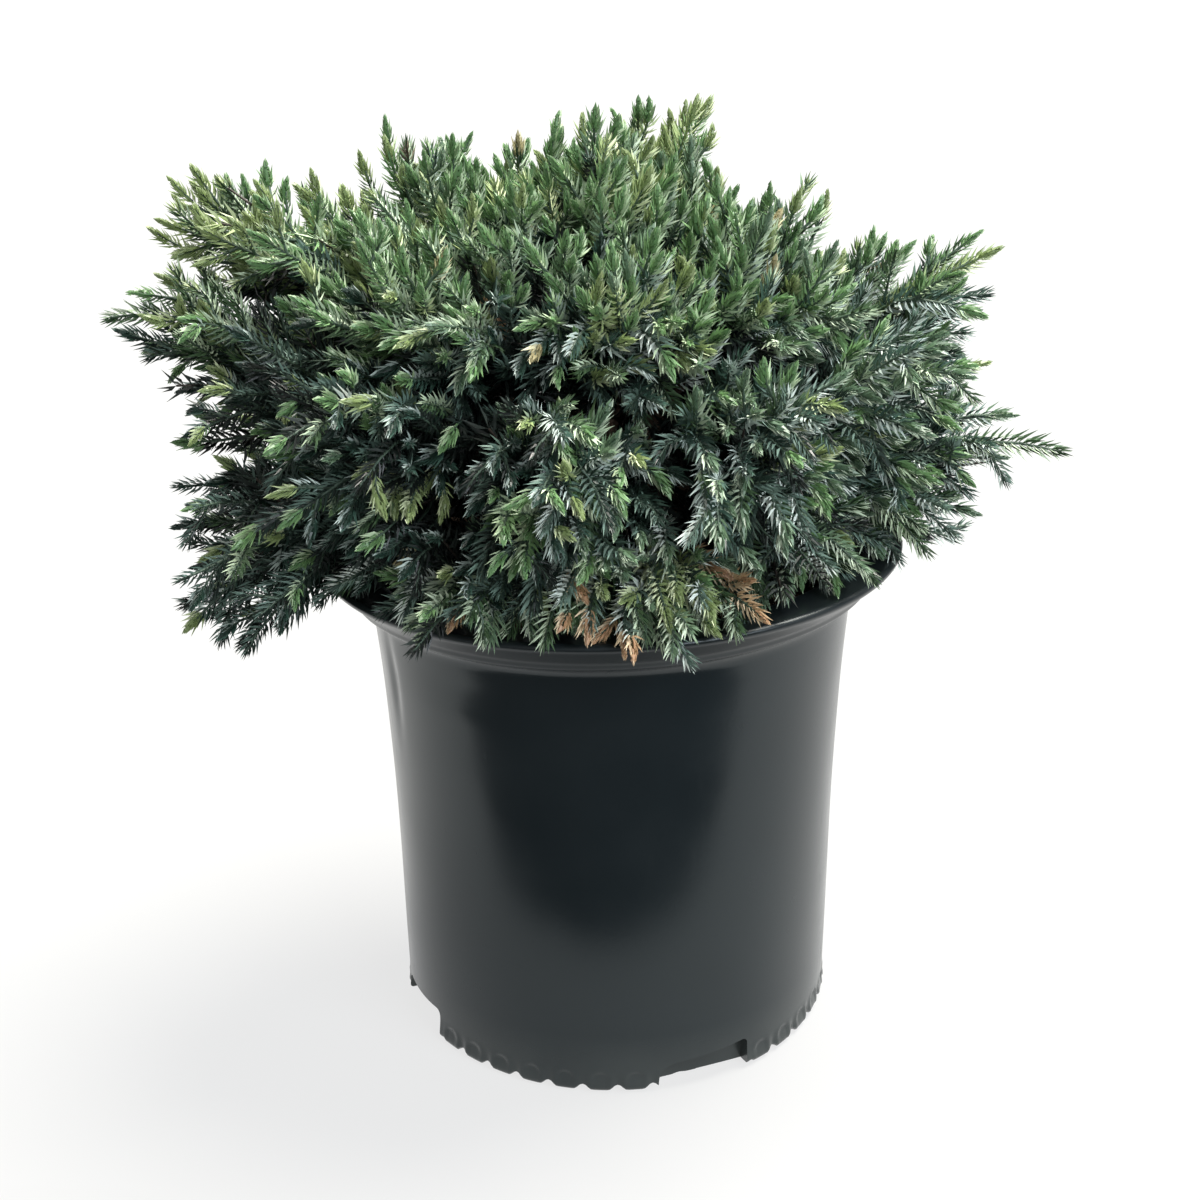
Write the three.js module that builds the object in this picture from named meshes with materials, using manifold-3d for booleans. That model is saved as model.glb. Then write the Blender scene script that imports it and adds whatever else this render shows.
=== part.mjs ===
// A low blue star juniper in the black nursery can it is sold in.
// Millimetres, +Z up. The origin is the centre of the can's flat underside; the camera side is -Y.
// Azimuths run from +X towards +Y and lifts are measured up from level, both in degrees.
import * as THREE from 'three';
import { mergeVertices } from 'three/addons/utils/BufferGeometryUtils.js';
import Module from 'manifold-3d';

const wasm = await Module();
wasm.setup();

// The can: a thin blow-moulded tub with a rolled rim, standing on a scalloped foot.
const potHeight = 200;
const potFootRadius = 89.4;
const potWaistRadius = 90.4;
const potWaistHeight = 88;
const potNeckRadius = 94.4;
const potNeckHeight = 181;
const potWall = 2.6;
const potFloor = 4;
const potFloorRadius = 70;
const footRingHeight = 10;
const lipRadius = 115.5;
const beadRadius = 104.3;
const footNotchCount = 4;
const footNotchWidth = 30;
const footNotchHeight = 7;
const footNotchAzimuth = -63;
const footNotchDepth = 14;
const potSides = 42;

// The growing mix in it, domed a little towards the stem.
const soilRimHeight = 176;
const soilTopHeight = 182;
const soilFlatRadius = 24;
const soilSides = 28;

const fitGap = 0.3;

// The short stem inside the shrub, flared at the mix and leaning a little towards the tall side.
const trunkHeight = 68;
const trunkFootRadius = 15;
const trunkWaistRadius = 9.5;
const trunkTipRadius = 6.5;
const trunkSides = 9;
const trunkLean = [-5, 3];

// Boughs leave the trunk in four tiers, at these heights above the can's underside.
const forkHeights = { skirt: 216, shoulder: 226, upper: 236, crown: 244 };
const forkStagger = 3;
const boughRootRadius = 2.6;
const boughTipRadius = 1.9;
const boughShare = 0.4;
const boughShares = [0, 0.35, 0.65, 0.92, 1];
const boughSag = 4;

// Foliage masses, one per bough: azimuth, lift, reach of the leading shoot, reach of the flank shoots.
const masses = {
  skirt_right: [355, 9, 180, 148],
  skirt_right_back: [40, -2, 148, 138],
  skirt_back_right: [82, -4, 142, 132],
  skirt_back_left: [122, -4, 150, 138],
  skirt_left_back: [161, -3, 168, 156],
  skirt_left: [199, -2, 178, 168],
  skirt_left_front: [240, -4, 142, 134],
  skirt_front: [279, -4, 138, 130],
  skirt_right_front: [318, -1, 138, 128],
  shoulder_right: [7, 31, 180, 160],
  shoulder_right_back: [58, 20, 152, 142],
  shoulder_back_right: [100, 18, 148, 138],
  shoulder_back_left: [142, 17, 162, 150],
  shoulder_left: [183, 20, 203, 174],
  shoulder_left_front: [223, 16, 160, 150],
  shoulder_front_left: [261, 17, 150, 140],
  shoulder_front_right: [300, 18, 148, 138],
  shoulder_right_front: [338, 20, 152, 144],
  upper_right: [37, 43, 137, 130],
  upper_back: [95, 42, 144, 132],
  upper_left: [173, 36, 204, 172],
  upper_left_front: [224, 45, 152, 142],
  upper_front: [272, 45, 140, 130],
  upper_right_front: [325, 44, 142, 130],
  crown_right: [46, 70, 152, 128],
  crown_left: [157, 53, 152, 138],
  crown_front: [272, 79, 140, 126],
};

// How a mass fills its own space: a dense heart round its stem, and shoots that stand out of it.
const goldenAngle = 137.508;
const massHalfAngle = 26;
const massGap = 1.6;
const domeDrop = 14;
const heartStart = 9;
const heartDepth = 39;
const heartSides = 6;
const heartNose = 9;
const heartRings = [[0, 0.54], [0.35, 0.96], [0.75, 1.2], [1, 0.86]];
const stemRadius = 1.7;
const stemEndRadius = 1.5;

// Shoots keep this far apart at their tips, lean out from the stem, and clear their neighbours and the can.
const shootSpacing = 26;
const shootTries = 70;
const shootFan = 1.55;
const shootFanMost = 52;
const edgeShares = [0, 0.25, 0.5, 0.75];
const rimGap = 1.2;
const lipGap = 2;
const rimShelf = 9;
const rimFall = 0.8;

// A shoot: a slim three-sided core with rings of three awl needles, each ring turned between the last.
const shootLength = 46;
const shootRadius = 2.5;
const twigRadius = 1.5;
const twigRise = 14;
const needleReach = 7.2;
const needleForward = 9.5;
const shootRings = 2;
const lengthTries = [1, 0.86, 0.72];
const tipShrink = 0.35;

const up = new THREE.Vector3(0, 0, 1);
const radians = THREE.MathUtils.degToRad;

// A repeatable stream of numbers between 0 and 1.
function makeRandom(seed) {
  let state = seed >>> 0;
  return () => {
    state = (state + 0x6d2b79f5) >>> 0;
    let t = state;
    t = Math.imul(t ^ (t >>> 15), t | 1);
    t ^= t + Math.imul(t ^ (t >>> 7), t | 61);
    return ((t ^ (t >>> 14)) >>> 0) / 4294967296;
  };
}

function direction(azimuth, lift) {
  const flat = Math.cos(radians(lift));
  return new THREE.Vector3(
    flat * Math.cos(radians(azimuth)),
    flat * Math.sin(radians(azimuth)),
    Math.sin(radians(lift)),
  );
}

// The direction that lies off degrees away from axis, at turn degrees round it.
function leaningFrom(axis, off, turn) {
  const side = new THREE.Vector3().crossVectors(up, axis).normalize();
  side.applyAxisAngle(axis, radians(turn));
  return axis.clone().applyAxisAngle(side, radians(off));
}

function toSolid(geometry) {
  const bare = geometry.clone();
  bare.deleteAttribute('normal');
  bare.deleteAttribute('uv');
  const merged = mergeVertices(bare, 1e-4);
  return new wasm.Manifold(
    new wasm.Mesh({
      numProp: 3,
      vertProperties: merged.attributes.position.array,
      triVerts: new Uint32Array(merged.index.array),
    }),
  );
}

function toGeometry(solid) {
  const mesh = solid.getMesh();
  const geometry = new THREE.BufferGeometry();
  geometry.setAttribute('position', new THREE.BufferAttribute(mesh.vertProperties, 3));
  geometry.setIndex(new THREE.BufferAttribute(mesh.triVerts, 1));
  const flat = geometry.toNonIndexed();
  flat.computeVertexNormals();
  return flat;
}

// The largest body of a joined mass, so that no loose scrap is left beside it.
function mainBody(solid) {
  return solid.decompose().reduce((best, body) => (body.volume() > best.volume() ? body : best));
}

function geometryOf(points, faces) {
  const geometry = new THREE.BufferGeometry();
  const values = new Float32Array(points.flatMap((p) => [p.x, p.y, p.z]));
  geometry.setAttribute('position', new THREE.BufferAttribute(values, 3));
  geometry.setIndex(faces.flat());
  return geometry;
}

// A limb with flat ends through the given stations, each with its own radius.
function taperedLimb(stations, radii, sides) {
  const points = [];
  const faces = [];
  stations.forEach((station, k) => {
    const before = stations[Math.max(k - 1, 0)];
    const after = stations[Math.min(k + 1, stations.length - 1)];
    const along = after.clone().sub(before).normalize();
    const reference = Math.abs(along.z) > 0.9 ? new THREE.Vector3(1, 0, 0) : up;
    const across = new THREE.Vector3().crossVectors(reference, along).normalize();
    for (let s = 0; s < sides; s += 1) {
      const offset = across.clone().applyAxisAngle(along, (2 * Math.PI * s) / sides);
      points.push(station.clone().addScaledVector(offset, radii[k]));
    }
  });
  const last = (stations.length - 1) * sides;
  for (let k = 0; k < stations.length - 1; k += 1) {
    for (let s = 0; s < sides; s += 1) {
      const a = k * sides + s;
      const b = k * sides + ((s + 1) % sides);
      faces.push([a, b, b + sides], [a, b + sides, a + sides]);
    }
  }
  for (let s = 1; s < sides - 1; s += 1) {
    faces.push([0, s + 1, s], [last, last + s, last + s + 1]);
  }
  return geometryOf(points, faces);
}

const group = new THREE.Group();
group.name = 'juniper_in_can';

function addPart(name, geometry, material) {
  const mesh = new THREE.Mesh(geometry, material);
  mesh.name = name;
  group.add(mesh);
}

const plasticMaterial = new THREE.MeshStandardMaterial({ color: 0x1b1d1f, roughness: 0.38, metalness: 0 });
const mixMaterial = new THREE.MeshStandardMaterial({ color: 0x3a2a1e, roughness: 0.95, metalness: 0 });
const barkMaterial = new THREE.MeshStandardMaterial({ color: 0x6a4a35, roughness: 0.9, metalness: 0 });
const foliageMaterials = {
  skirt: new THREE.MeshStandardMaterial({ color: 0x2f4f47, roughness: 0.6, metalness: 0 }),
  shoulder: new THREE.MeshStandardMaterial({ color: 0x46695f, roughness: 0.6, metalness: 0 }),
  upper: new THREE.MeshStandardMaterial({ color: 0x547763, roughness: 0.6, metalness: 0 }),
  crown: new THREE.MeshStandardMaterial({ color: 0x64855c, roughness: 0.6, metalness: 0 }),
};

// The can's outside radius: close to a straight tube below its waist, and widening from there to its neck.
function potRadiusAt(height) {
  if (height < potWaistHeight) {
    return THREE.MathUtils.lerp(potFootRadius, potWaistRadius, height / potWaistHeight);
  }
  const share = (height - potWaistHeight) / (potNeckHeight - potWaistHeight);
  return THREE.MathUtils.lerp(potWaistRadius, potNeckRadius, share);
}

// The can's section from the middle of its underside, up its outside, over the rim and down inside.
function potSection() {
  const innerNeck = potNeckRadius - potWall;
  return [
    [0, 0],
    [potFootRadius - 3, 0],
    [potFootRadius - 0.8, 0.9],
    [potFootRadius, 3.5],
    [potWaistRadius, potWaistHeight],
    [potNeckRadius, potNeckHeight],
    [potNeckRadius + 1.8, potNeckHeight + 2.5],
    [beadRadius - 1, potNeckHeight + 4.5],
    [beadRadius, potNeckHeight + 6.5],
    [beadRadius - 0.6, potNeckHeight + 8.5],
    [lipRadius - 5, potHeight - 6.5],
    [lipRadius - 0.8, potHeight - 4.2],
    [lipRadius, potHeight - 2.2],
    [lipRadius - 1, potHeight - 0.4],
    [lipRadius - 3, potHeight],
    [beadRadius, potHeight - 2],
    [innerNeck + 6, potHeight - 3.4],
    [innerNeck + 4, potHeight - 2.2],
    [innerNeck + 2.4, potHeight - 2.6],
    [innerNeck + 0.8, potHeight - 6],
    [innerNeck, potNeckHeight],
    [potWaistRadius - potWall, potWaistHeight],
    [potRadiusAt(footRingHeight) - potWall, footRingHeight],
    [potFloorRadius, footRingHeight],
    [potFloorRadius, potFloor],
    [0, potFloor],
  ].map(([r, z]) => new THREE.Vector2(r, z));
}

// LatheGeometry turns its profile round Y, so each turned piece is tipped up onto Z.
function turned(profile, sides) {
  const geometry = new THREE.LatheGeometry(profile, sides);
  geometry.rotateX(Math.PI / 2);
  return geometry;
}

// One of the drain notches that lift the foot clear of a wet bench.
function footNotch(azimuth) {
  const block = new THREE.BoxGeometry(2 * footNotchDepth, footNotchWidth, 2 * footNotchHeight);
  block.translate(potFootRadius, 0, 0);
  block.rotateZ(radians(azimuth));
  return toSolid(block);
}

function buildPot() {
  let can = toSolid(turned(potSection(), potSides));
  for (let k = 0; k < footNotchCount; k += 1) {
    can = can.subtract(footNotch(footNotchAzimuth + (k * 360) / footNotchCount));
  }
  addPart('pot', toGeometry(can), plasticMaterial);
}

function buildSoil() {
  const bottom = potFloor + fitGap;
  const shoulder = footRingHeight + fitGap;
  const againstWall = (height) => [potRadiusAt(height) - potWall - 2 * fitGap, height];
  const profile = [
    [0, bottom],
    [potFloorRadius - fitGap, bottom],
    [potFloorRadius - fitGap, shoulder],
    againstWall(shoulder),
    againstWall(potWaistHeight),
    againstWall(soilRimHeight),
    [0.6 * potNeckRadius, soilRimHeight + 3.5],
    [soilFlatRadius, soilTopHeight],
    [0, soilTopHeight],
  ].map(([r, z]) => new THREE.Vector2(r, z));
  addPart('soil', turned(profile, soilSides), mixMaterial);
}

const trunkBase = soilTopHeight + fitGap;

// A point on the trunk's middle line at a height, and its radius there.
function trunkAt(height) {
  const share = THREE.MathUtils.clamp((height - trunkBase) / trunkHeight, 0, 1);
  const lean = share * share;
  return new THREE.Vector3(trunkLean[0] * lean, trunkLean[1] * lean, height);
}

function trunkRadiusAt(height) {
  const share = THREE.MathUtils.clamp((height - trunkBase) / trunkHeight, 0, 1);
  const flare = (trunkFootRadius - trunkWaistRadius) * Math.exp(-9 * share);
  return trunkWaistRadius + (trunkTipRadius - trunkWaistRadius) * share + flare;
}

function trunkGeometry(extra) {
  const shares = [0, 0.06, 0.14, 0.26, 0.45, 0.65, 0.85, 1];
  const stations = shares.map((share) => trunkAt(trunkBase + share * trunkHeight));
  stations.at(-1).z += extra;
  const radii = stations.map((station) => trunkRadiusAt(station.z) + extra);
  return taperedLimb(stations, radii, trunkSides);
}

// Each mass with its bough: where it forks, where it points and how far it goes.
function layOut([name, [azimuth, lift, reach, flank]], index) {
  const tier = name.split('_')[0];
  const height = forkHeights[tier] + forkStagger * ((index % 3) - 1);
  const fork = trunkAt(height).addScaledVector(direction(azimuth, 0), 0.6 * trunkRadiusAt(height));
  const aim = direction(azimuth, lift);
  const boughLength = boughShare * flank;
  return {
    name,
    tier,
    index,
    fork,
    aim,
    reach,
    flank,
    boughLength,
    tip: fork.clone().addScaledVector(aim, reach),
  };
}

const crown = Object.entries(masses).map(layOut);

// How far a point lies from the middle line of a bough and its mass.
function distanceTo(mass, point) {
  const nearest = new THREE.Vector3();
  new THREE.Line3(mass.fork, mass.tip).closestPointToPoint(point, true, nearest);
  return nearest.distanceTo(point);
}

// A mass owns the points that are nearer to its own middle line than to any other.
function isOwn(mass, point, gap) {
  const own = distanceTo(mass, point);
  return crown.every((other) => other === mass || distanceTo(other, point) - own > gap);
}

// The can's rim and the mix are kept clear, and shoots may hang outside the lip.
function isClearOfCan(point) {
  const radius = Math.hypot(point.x, point.y);
  const overLip = potHeight + rimGap;
  return point.z > overLip || radius > lipRadius + lipGap;
}

// A bough sags a little off its straight line and comes back to it at the mass.
function boughStations(mass) {
  return boughShares.map((share) => {
    const station = mass.fork.clone().addScaledVector(mass.aim, share * mass.boughLength);
    station.z -= boughSag * Math.sin(Math.PI * share) ** 2;
    return station;
  });
}

function buildBoughs() {
  const trunkSpace = toSolid(trunkGeometry(1.3 * fitGap));
  crown.forEach((mass) => {
    const stations = boughStations(mass);
    const radii = boughShares.map((share) => THREE.MathUtils.lerp(boughRootRadius, boughTipRadius, share));
    const limb = toSolid(taperedLimb(stations, radii, 5)).subtract(trunkSpace);
    addPart(`bough_${mass.name}`, toGeometry(mainBody(limb)), barkMaterial);
  });
}

// Where a mass ends in a direction that lies off degrees from its middle line: a dome from tip to flank.
function domeReach(mass, off) {
  const share = Math.min(off / massHalfAngle, 1);
  return THREE.MathUtils.lerp(mass.reach, mass.flank, Math.sqrt(share)) - domeDrop * share * share;
}

// A point inside a mass, drawn back towards its middle line until it lies in its own space.
function drawnIn(mass, along, off, turn) {
  const heading = leaningFrom(mass.aim, 90, turn);
  const centre = mass.fork.clone().addScaledVector(mass.aim, along);
  for (let share = 1; share > 0.1; share -= 0.06) {
    const point = centre.clone().addScaledVector(heading, off * share);
    if (isOwn(mass, point, 2 * massGap) && point.z > potHeight + rimGap) {
      return point;
    }
  }
  return centre.clone().addScaledVector(heading, 0.1 * off);
}

// The dense heart of a mass, from just past its bough's tip to the roots of its shoots.
function heartGeometry(mass) {
  const inner = mass.boughLength + heartStart;
  const outer = mass.flank - heartDepth;
  const width = outer * Math.tan(radians(massHalfAngle));
  const points = [mass.fork.clone().addScaledVector(mass.aim, inner - heartStart / 3)];
  heartRings.forEach(([share, wide], row) => {
    for (let s = 0; s < heartSides; s += 1) {
      const turn = ((s + 0.5 * (row % 2)) * 360) / heartSides;
      points.push(drawnIn(mass, THREE.MathUtils.lerp(inner, outer, share), width * wide, turn));
    }
  });
  points.push(mass.fork.clone().addScaledVector(mass.aim, outer + heartNose));
  const faces = [];
  const last = points.length - 1;
  for (let s = 0; s < heartSides; s += 1) {
    const next = (s + 1) % heartSides;
    faces.push([0, 1 + next, 1 + s]);
    for (let row = 0; row < heartRings.length - 1; row += 1) {
      const a = 1 + row * heartSides + s;
      const b = 1 + row * heartSides + next;
      const c = a + heartSides;
      const d = b + heartSides;
      if (row % 2 === 0) {
        faces.push([a, b, c], [b, d, c]);
      } else {
        faces.push([a, b, d], [a, d, c]);
      }
    }
    faces.push([last, last - heartSides + s, last - heartSides + next]);
  }
  return geometryOf(points, faces);
}

// One shoot with its twig: three-sided rings along a bent line, needles raised between them.
function shootGeometry(root, base, tip, rings, twist) {
  const along = tip.clone().sub(base);
  const length = along.length();
  along.normalize();
  const across = new THREE.Vector3().crossVectors(up, along).normalize();
  const points = [];
  const faces = [];
  const addRing = (centre, radius, turn) => {
    for (let s = 0; s < 3; s += 1) {
      const offset = across.clone().applyAxisAngle(along, radians(turn + 120 * s));
      points.push(centre.clone().addScaledVector(offset, radius));
    }
  };
  addRing(root, twigRadius, twist);
  addRing(base, shootRadius, twist);
  for (let s = 0; s < 3; s += 1) {
    const next = (s + 1) % 3;
    faces.push([s, next, 3 + next], [s, 3 + next, 3 + s]);
  }
  faces.push([0, 2, 1]);
  for (let k = 1; k <= rings; k += 1) {
    const share = k / (rings + 1);
    const low = points.length - 3;
    const turn = twist + 60 * k;
    addRing(base.clone().addScaledVector(along, share * length), shootRadius * (1 - 0.25 * share), turn);
    const high = points.length - 3;
    const needles = [];
    for (let s = 0; s < 3; s += 1) {
      const outward = across.clone().applyAxisAngle(along, radians(turn + 120 * s));
      const shrink = 1 - tipShrink * share;
      needles.push(
        base
          .clone()
          .addScaledVector(along, (share - 0.5 / (rings + 1)) * length + needleForward * shrink)
          .addScaledVector(outward, shootRadius + needleReach * shrink),
      );
    }
    const peak = points.length;
    points.push(...needles);
    for (let s = 0; s < 3; s += 1) {
      const a = low + s;
      const b = low + ((s + 1) % 3);
      const c = high + s;
      const n = peak + s;
      faces.push([a, b, n], [b, c, n], [c, a, n], [b, high + ((s + 1) % 3), c]);
    }
    // The next ring starts from this one, so it is copied past the needles.
    points.push(...points.slice(high, high + 3).map((p) => p.clone()));
  }
  const end = points.length - 3;
  points.push(tip.clone());
  for (let s = 0; s < 3; s += 1) {
    faces.push([end + s, end + ((s + 1) % 3), points.length - 1]);
  }
  return geometryOf(points, faces);
}

// Corners and points along every edge are tested, so a shoot is skipped before it can touch a neighbour.
function isFree(mass, geometry) {
  const { array } = geometry.attributes.position;
  const index = geometry.index.array;
  const limit = mass.boughLength + heartStart / 2;
  const corner = (k) => new THREE.Vector3().fromArray(array, 3 * index[k]);
  for (let k = 0; k < index.length; k += 1) {
    const from = corner(k);
    const to = corner(k % 3 === 2 ? k - 2 : k + 1);
    for (const share of edgeShares) {
      const point = from.clone().lerp(to, share);
      const isPastBough = point.clone().sub(mass.fork).dot(mass.aim) > limit;
      if (!isPastBough || !isClearOfCan(point) || !isOwn(mass, point, massGap)) {
        return false;
      }
    }
  }
  return true;
}

// Shoots over the can are laid on its rim, and past the lip they may hang.
function laidOverRim(point) {
  const past = Math.max(Math.hypot(point.x, point.y) - lipRadius - rimShelf, 0);
  const lowest = potHeight + rimShelf - rimFall * past;
  return new THREE.Vector3(point.x, point.y, Math.max(point.z, lowest));
}

// The shoots of a mass: their tips are spread over its dome like seeds in a sunflower, no two too close.
function shootsOf(mass) {
  const random = makeRandom(1000 + 17 * mass.index);
  const shoots = [];
  const tips = [];
  for (let k = 0; k < shootTries; k += 1) {
    const off = massHalfAngle * Math.sqrt(k / shootTries);
    const turn = k * goldenAngle;
    const twist = 360 * random();
    const wander = 0.95 + 0.07 * random();
    const leading = k === 0;
    const heading = leaningFrom(mass.aim, off, turn);
    const reach = leading ? mass.reach : domeReach(mass, off) * wander;
    const tip = laidOverRim(mass.fork.clone().addScaledVector(heading, reach));
    if (tips.every((other) => other.distanceTo(tip) > shootSpacing)) {
      const outward = leaningFrom(mass.aim, Math.min(off * shootFan, shootFanMost), turn);
      const full = leading ? shootLength + 0.35 * (mass.reach - mass.flank) : shootLength;
      const rings = leading ? shootRings + 1 : shootRings;
      const fitting = lengthTries
        .map((size) => {
          const base = laidOverRim(tip.clone().addScaledVector(outward, -full * size));
          const depth = base.clone().sub(mass.fork).dot(mass.aim);
          const rootReach = Math.max(depth - twigRise, mass.boughLength + heartStart);
          const root = mass.fork.clone().addScaledVector(mass.aim, rootReach);
          return shootGeometry(root, base, tip, rings, twist);
        })
        .find((geometry) => isFree(mass, geometry));
      if (fitting) {
        shoots.push(fitting);
        tips.push(tip);
      }
    }
  }
  return shoots;
}

function buildMasses() {
  crown.forEach((mass) => {
    const start = mass.boughLength + fitGap;
    const stemEnd = mass.reach - 0.8 * shootLength;
    const stations = [start, stemEnd].map((d) => mass.fork.clone().addScaledVector(mass.aim, d));
    const stem = taperedLimb(stations, [stemRadius, stemEndRadius], 3);
    let body = toSolid(heartGeometry(mass)).add(toSolid(stem));
    shootsOf(mass).forEach((shoot) => {
      body = body.add(toSolid(shoot));
    });
    addPart(`foliage_${mass.name}`, toGeometry(mainBody(body)), foliageMaterials[mass.tier]);
  });
}

buildPot();
buildSoil();
addPart('trunk', trunkGeometry(0), barkMaterial);
buildBoughs();
buildMasses();

export default group;
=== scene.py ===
# A low blue star juniper in its black nursery can.
# Sizes are in millimetres until a mesh is made. Azimuths run from +X towards +Y and lifts are
# measured up from level, both in degrees. The camera side is -Y.
import math
import random
from functools import partial

import bmesh
import bpy
import numpy as np
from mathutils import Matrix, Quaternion, Vector, noise


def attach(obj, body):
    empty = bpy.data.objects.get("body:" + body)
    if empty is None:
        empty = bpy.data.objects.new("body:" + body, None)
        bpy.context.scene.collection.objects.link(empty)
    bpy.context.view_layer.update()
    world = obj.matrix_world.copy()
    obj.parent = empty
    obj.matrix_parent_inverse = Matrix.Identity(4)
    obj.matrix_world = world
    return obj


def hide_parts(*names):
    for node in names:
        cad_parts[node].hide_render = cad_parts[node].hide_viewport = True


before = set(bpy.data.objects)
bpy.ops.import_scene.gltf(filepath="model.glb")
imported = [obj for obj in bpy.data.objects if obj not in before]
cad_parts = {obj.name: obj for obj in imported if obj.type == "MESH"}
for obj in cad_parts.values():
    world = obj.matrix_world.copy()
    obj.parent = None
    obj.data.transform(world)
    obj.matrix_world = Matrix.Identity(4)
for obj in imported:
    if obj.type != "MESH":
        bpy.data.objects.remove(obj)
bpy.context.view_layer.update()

mm = 0.001
up = Vector((0, 0, 1))
print("frame loaded:", len(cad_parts), "nodes")


def linear(hexColour):
    # an sRGB hex value as linear red, green, blue and full alpha
    parts = [int(hexColour[k:k + 2], 16) / 255 for k in (1, 3, 5)]
    turned = [c / 12.92 if c <= 0.04045 else ((c + 0.055) / 1.055) ** 2.4 for c in parts]
    return (*turned, 1.0)


def addNode(tree, kind, inputs=None, **settings):
    # one node with its settings; an input is a plain value, the socket that feeds it, or a node that
    # feeds it from its first output
    node = tree.nodes.new(kind)
    for name, value in settings.items():
        setattr(node, name, value)
    for key, value in (inputs or {}).items():
        if isinstance(value, bpy.types.Node):
            value = value.outputs[0]
        if isinstance(value, bpy.types.NodeSocket):
            tree.links.new(value, node.inputs[key])
        else:
            node.inputs[key].default_value = value
    return node


def newMaterial(name, colour, roughness, ior=1.5):
    # a Principled material with its plain values, and the tree to grow it in
    material = bpy.data.materials.new(name)
    material.use_nodes = True
    shader = material.node_tree.nodes["Principled BSDF"]
    shader.inputs["Base Color"].default_value = linear(colour)
    shader.inputs["Roughness"].default_value = roughness
    shader.inputs["IOR"].default_value = ior
    material.diffuse_color = linear(colour)
    return material, material.node_tree, shader


def mottled(made, size, detail, colours, broken=0.5, flat=1, strength=0, relief=0):
    # a new material mottled between two colours, in patches of a real size. broken roughens their
    # edges, flat below 1 draws them out along Z, and relief is how high the paler ones stand
    material, tree, shader = made
    add = partial(addNode, tree)
    place = add("ShaderNodeTexCoord").outputs["Object"]
    drawn = add("ShaderNodeMapping", {"Vector": place, "Scale": (1, 1, flat)})
    patches = add("ShaderNodeTexNoise", {
        "Vector": drawn, "Scale": 1 / (size * mm), "Detail": detail, "Roughness": broken})
    low, high = (linear(colour) for colour in colours)
    blend = add("ShaderNodeMix", {"Factor": patches, "A": low, "B": high}, data_type="RGBA")
    tree.links.new(blend.outputs[2], shader.inputs["Base Color"])
    if relief:
        bump = add("ShaderNodeBump", {"Height": patches, "Strength": strength, "Distance": relief * mm})
        tree.links.new(bump.outputs[0], shader.inputs["Normal"])
    return material


def newTree(name, inputs):
    # an empty geometry tree with its named inputs
    tree = bpy.data.node_groups.new(name, "GeometryNodeTree")
    for label, kind in {"Geometry": "Geometry", **inputs}.items():
        tree.interface.new_socket(label, in_out="INPUT", socket_type="NodeSocket" + kind)
    tree.interface.new_socket("Geometry", in_out="OUTPUT", socket_type="NodeSocketGeometry")
    return tree, tree.nodes.new("NodeGroupInput").outputs, tree.nodes.new("NodeGroupOutput").inputs[0]


def newObject(name, mesh):
    made = bpy.data.objects.new(name, mesh)
    bpy.context.scene.collection.objects.link(made)
    return made


def newMesh(name, points, edges, faces):
    # a mesh of points in millimetres
    mesh = bpy.data.meshes.new(name)
    mesh.from_pydata([Vector(point) * mm for point in points], edges, faces)
    return mesh


def meshFrom(name, shape):
    # the plain mesh of an edit mesh, which is freed
    mesh = bpy.data.meshes.new(name)
    shape.to_mesh(mesh)
    shape.free()
    return mesh


def evaluatedMesh(thing):
    # the object's mesh with its modifiers applied
    graph = bpy.context.evaluated_depsgraph_get()
    return bpy.data.meshes.new_from_object(thing.evaluated_get(graph), depsgraph=graph)


def throughTree(name, mesh, tree, values):
    # the mesh passed through a geometry tree, as a plain mesh in an object of that name
    helper = newObject("helper", mesh)
    modifier = helper.modifiers.new("growth", "NODES")
    modifier.node_group = tree
    for item in tree.interface.items_tree:
        if item.in_out == "INPUT" and item.name in values:
            modifier[item.identifier] = values[item.name]
    grown = evaluatedMesh(helper)
    bpy.data.objects.remove(helper)
    grown.name = name
    kept = ("position", "material_index", "sharp_face", "sharp_edge",
            ".edge_verts", ".corner_vert", ".corner_edge")
    for attribute in [a.name for a in grown.attributes if a.name not in kept]:
        grown.attributes.remove(grown.attributes[attribute])
    return newObject(name, grown)


def finishPiece(piece, slot, *nodes):
    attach(piece, "root")
    if nodes:
        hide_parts(*nodes)


def triangleCount(piece):
    piece.data.calc_loop_triangles()
    return len(piece.data.loop_triangles)


def smoothStep(low, high, value):
    share = min(max((value - low) / (high - low), 0), 1)
    return share * share * (3 - 2 * share)


def mix(a, b, share):
    return a + (b - a) * share


def onCircle(radius, azimuth, height=0.0):
    azimuth = math.radians(azimuth)
    return Vector((radius * math.cos(azimuth), radius * math.sin(azimuth), height))


def heading(azimuth, lift):
    return onCircle(math.cos(math.radians(lift)), azimuth, math.sin(math.radians(lift)))


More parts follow.
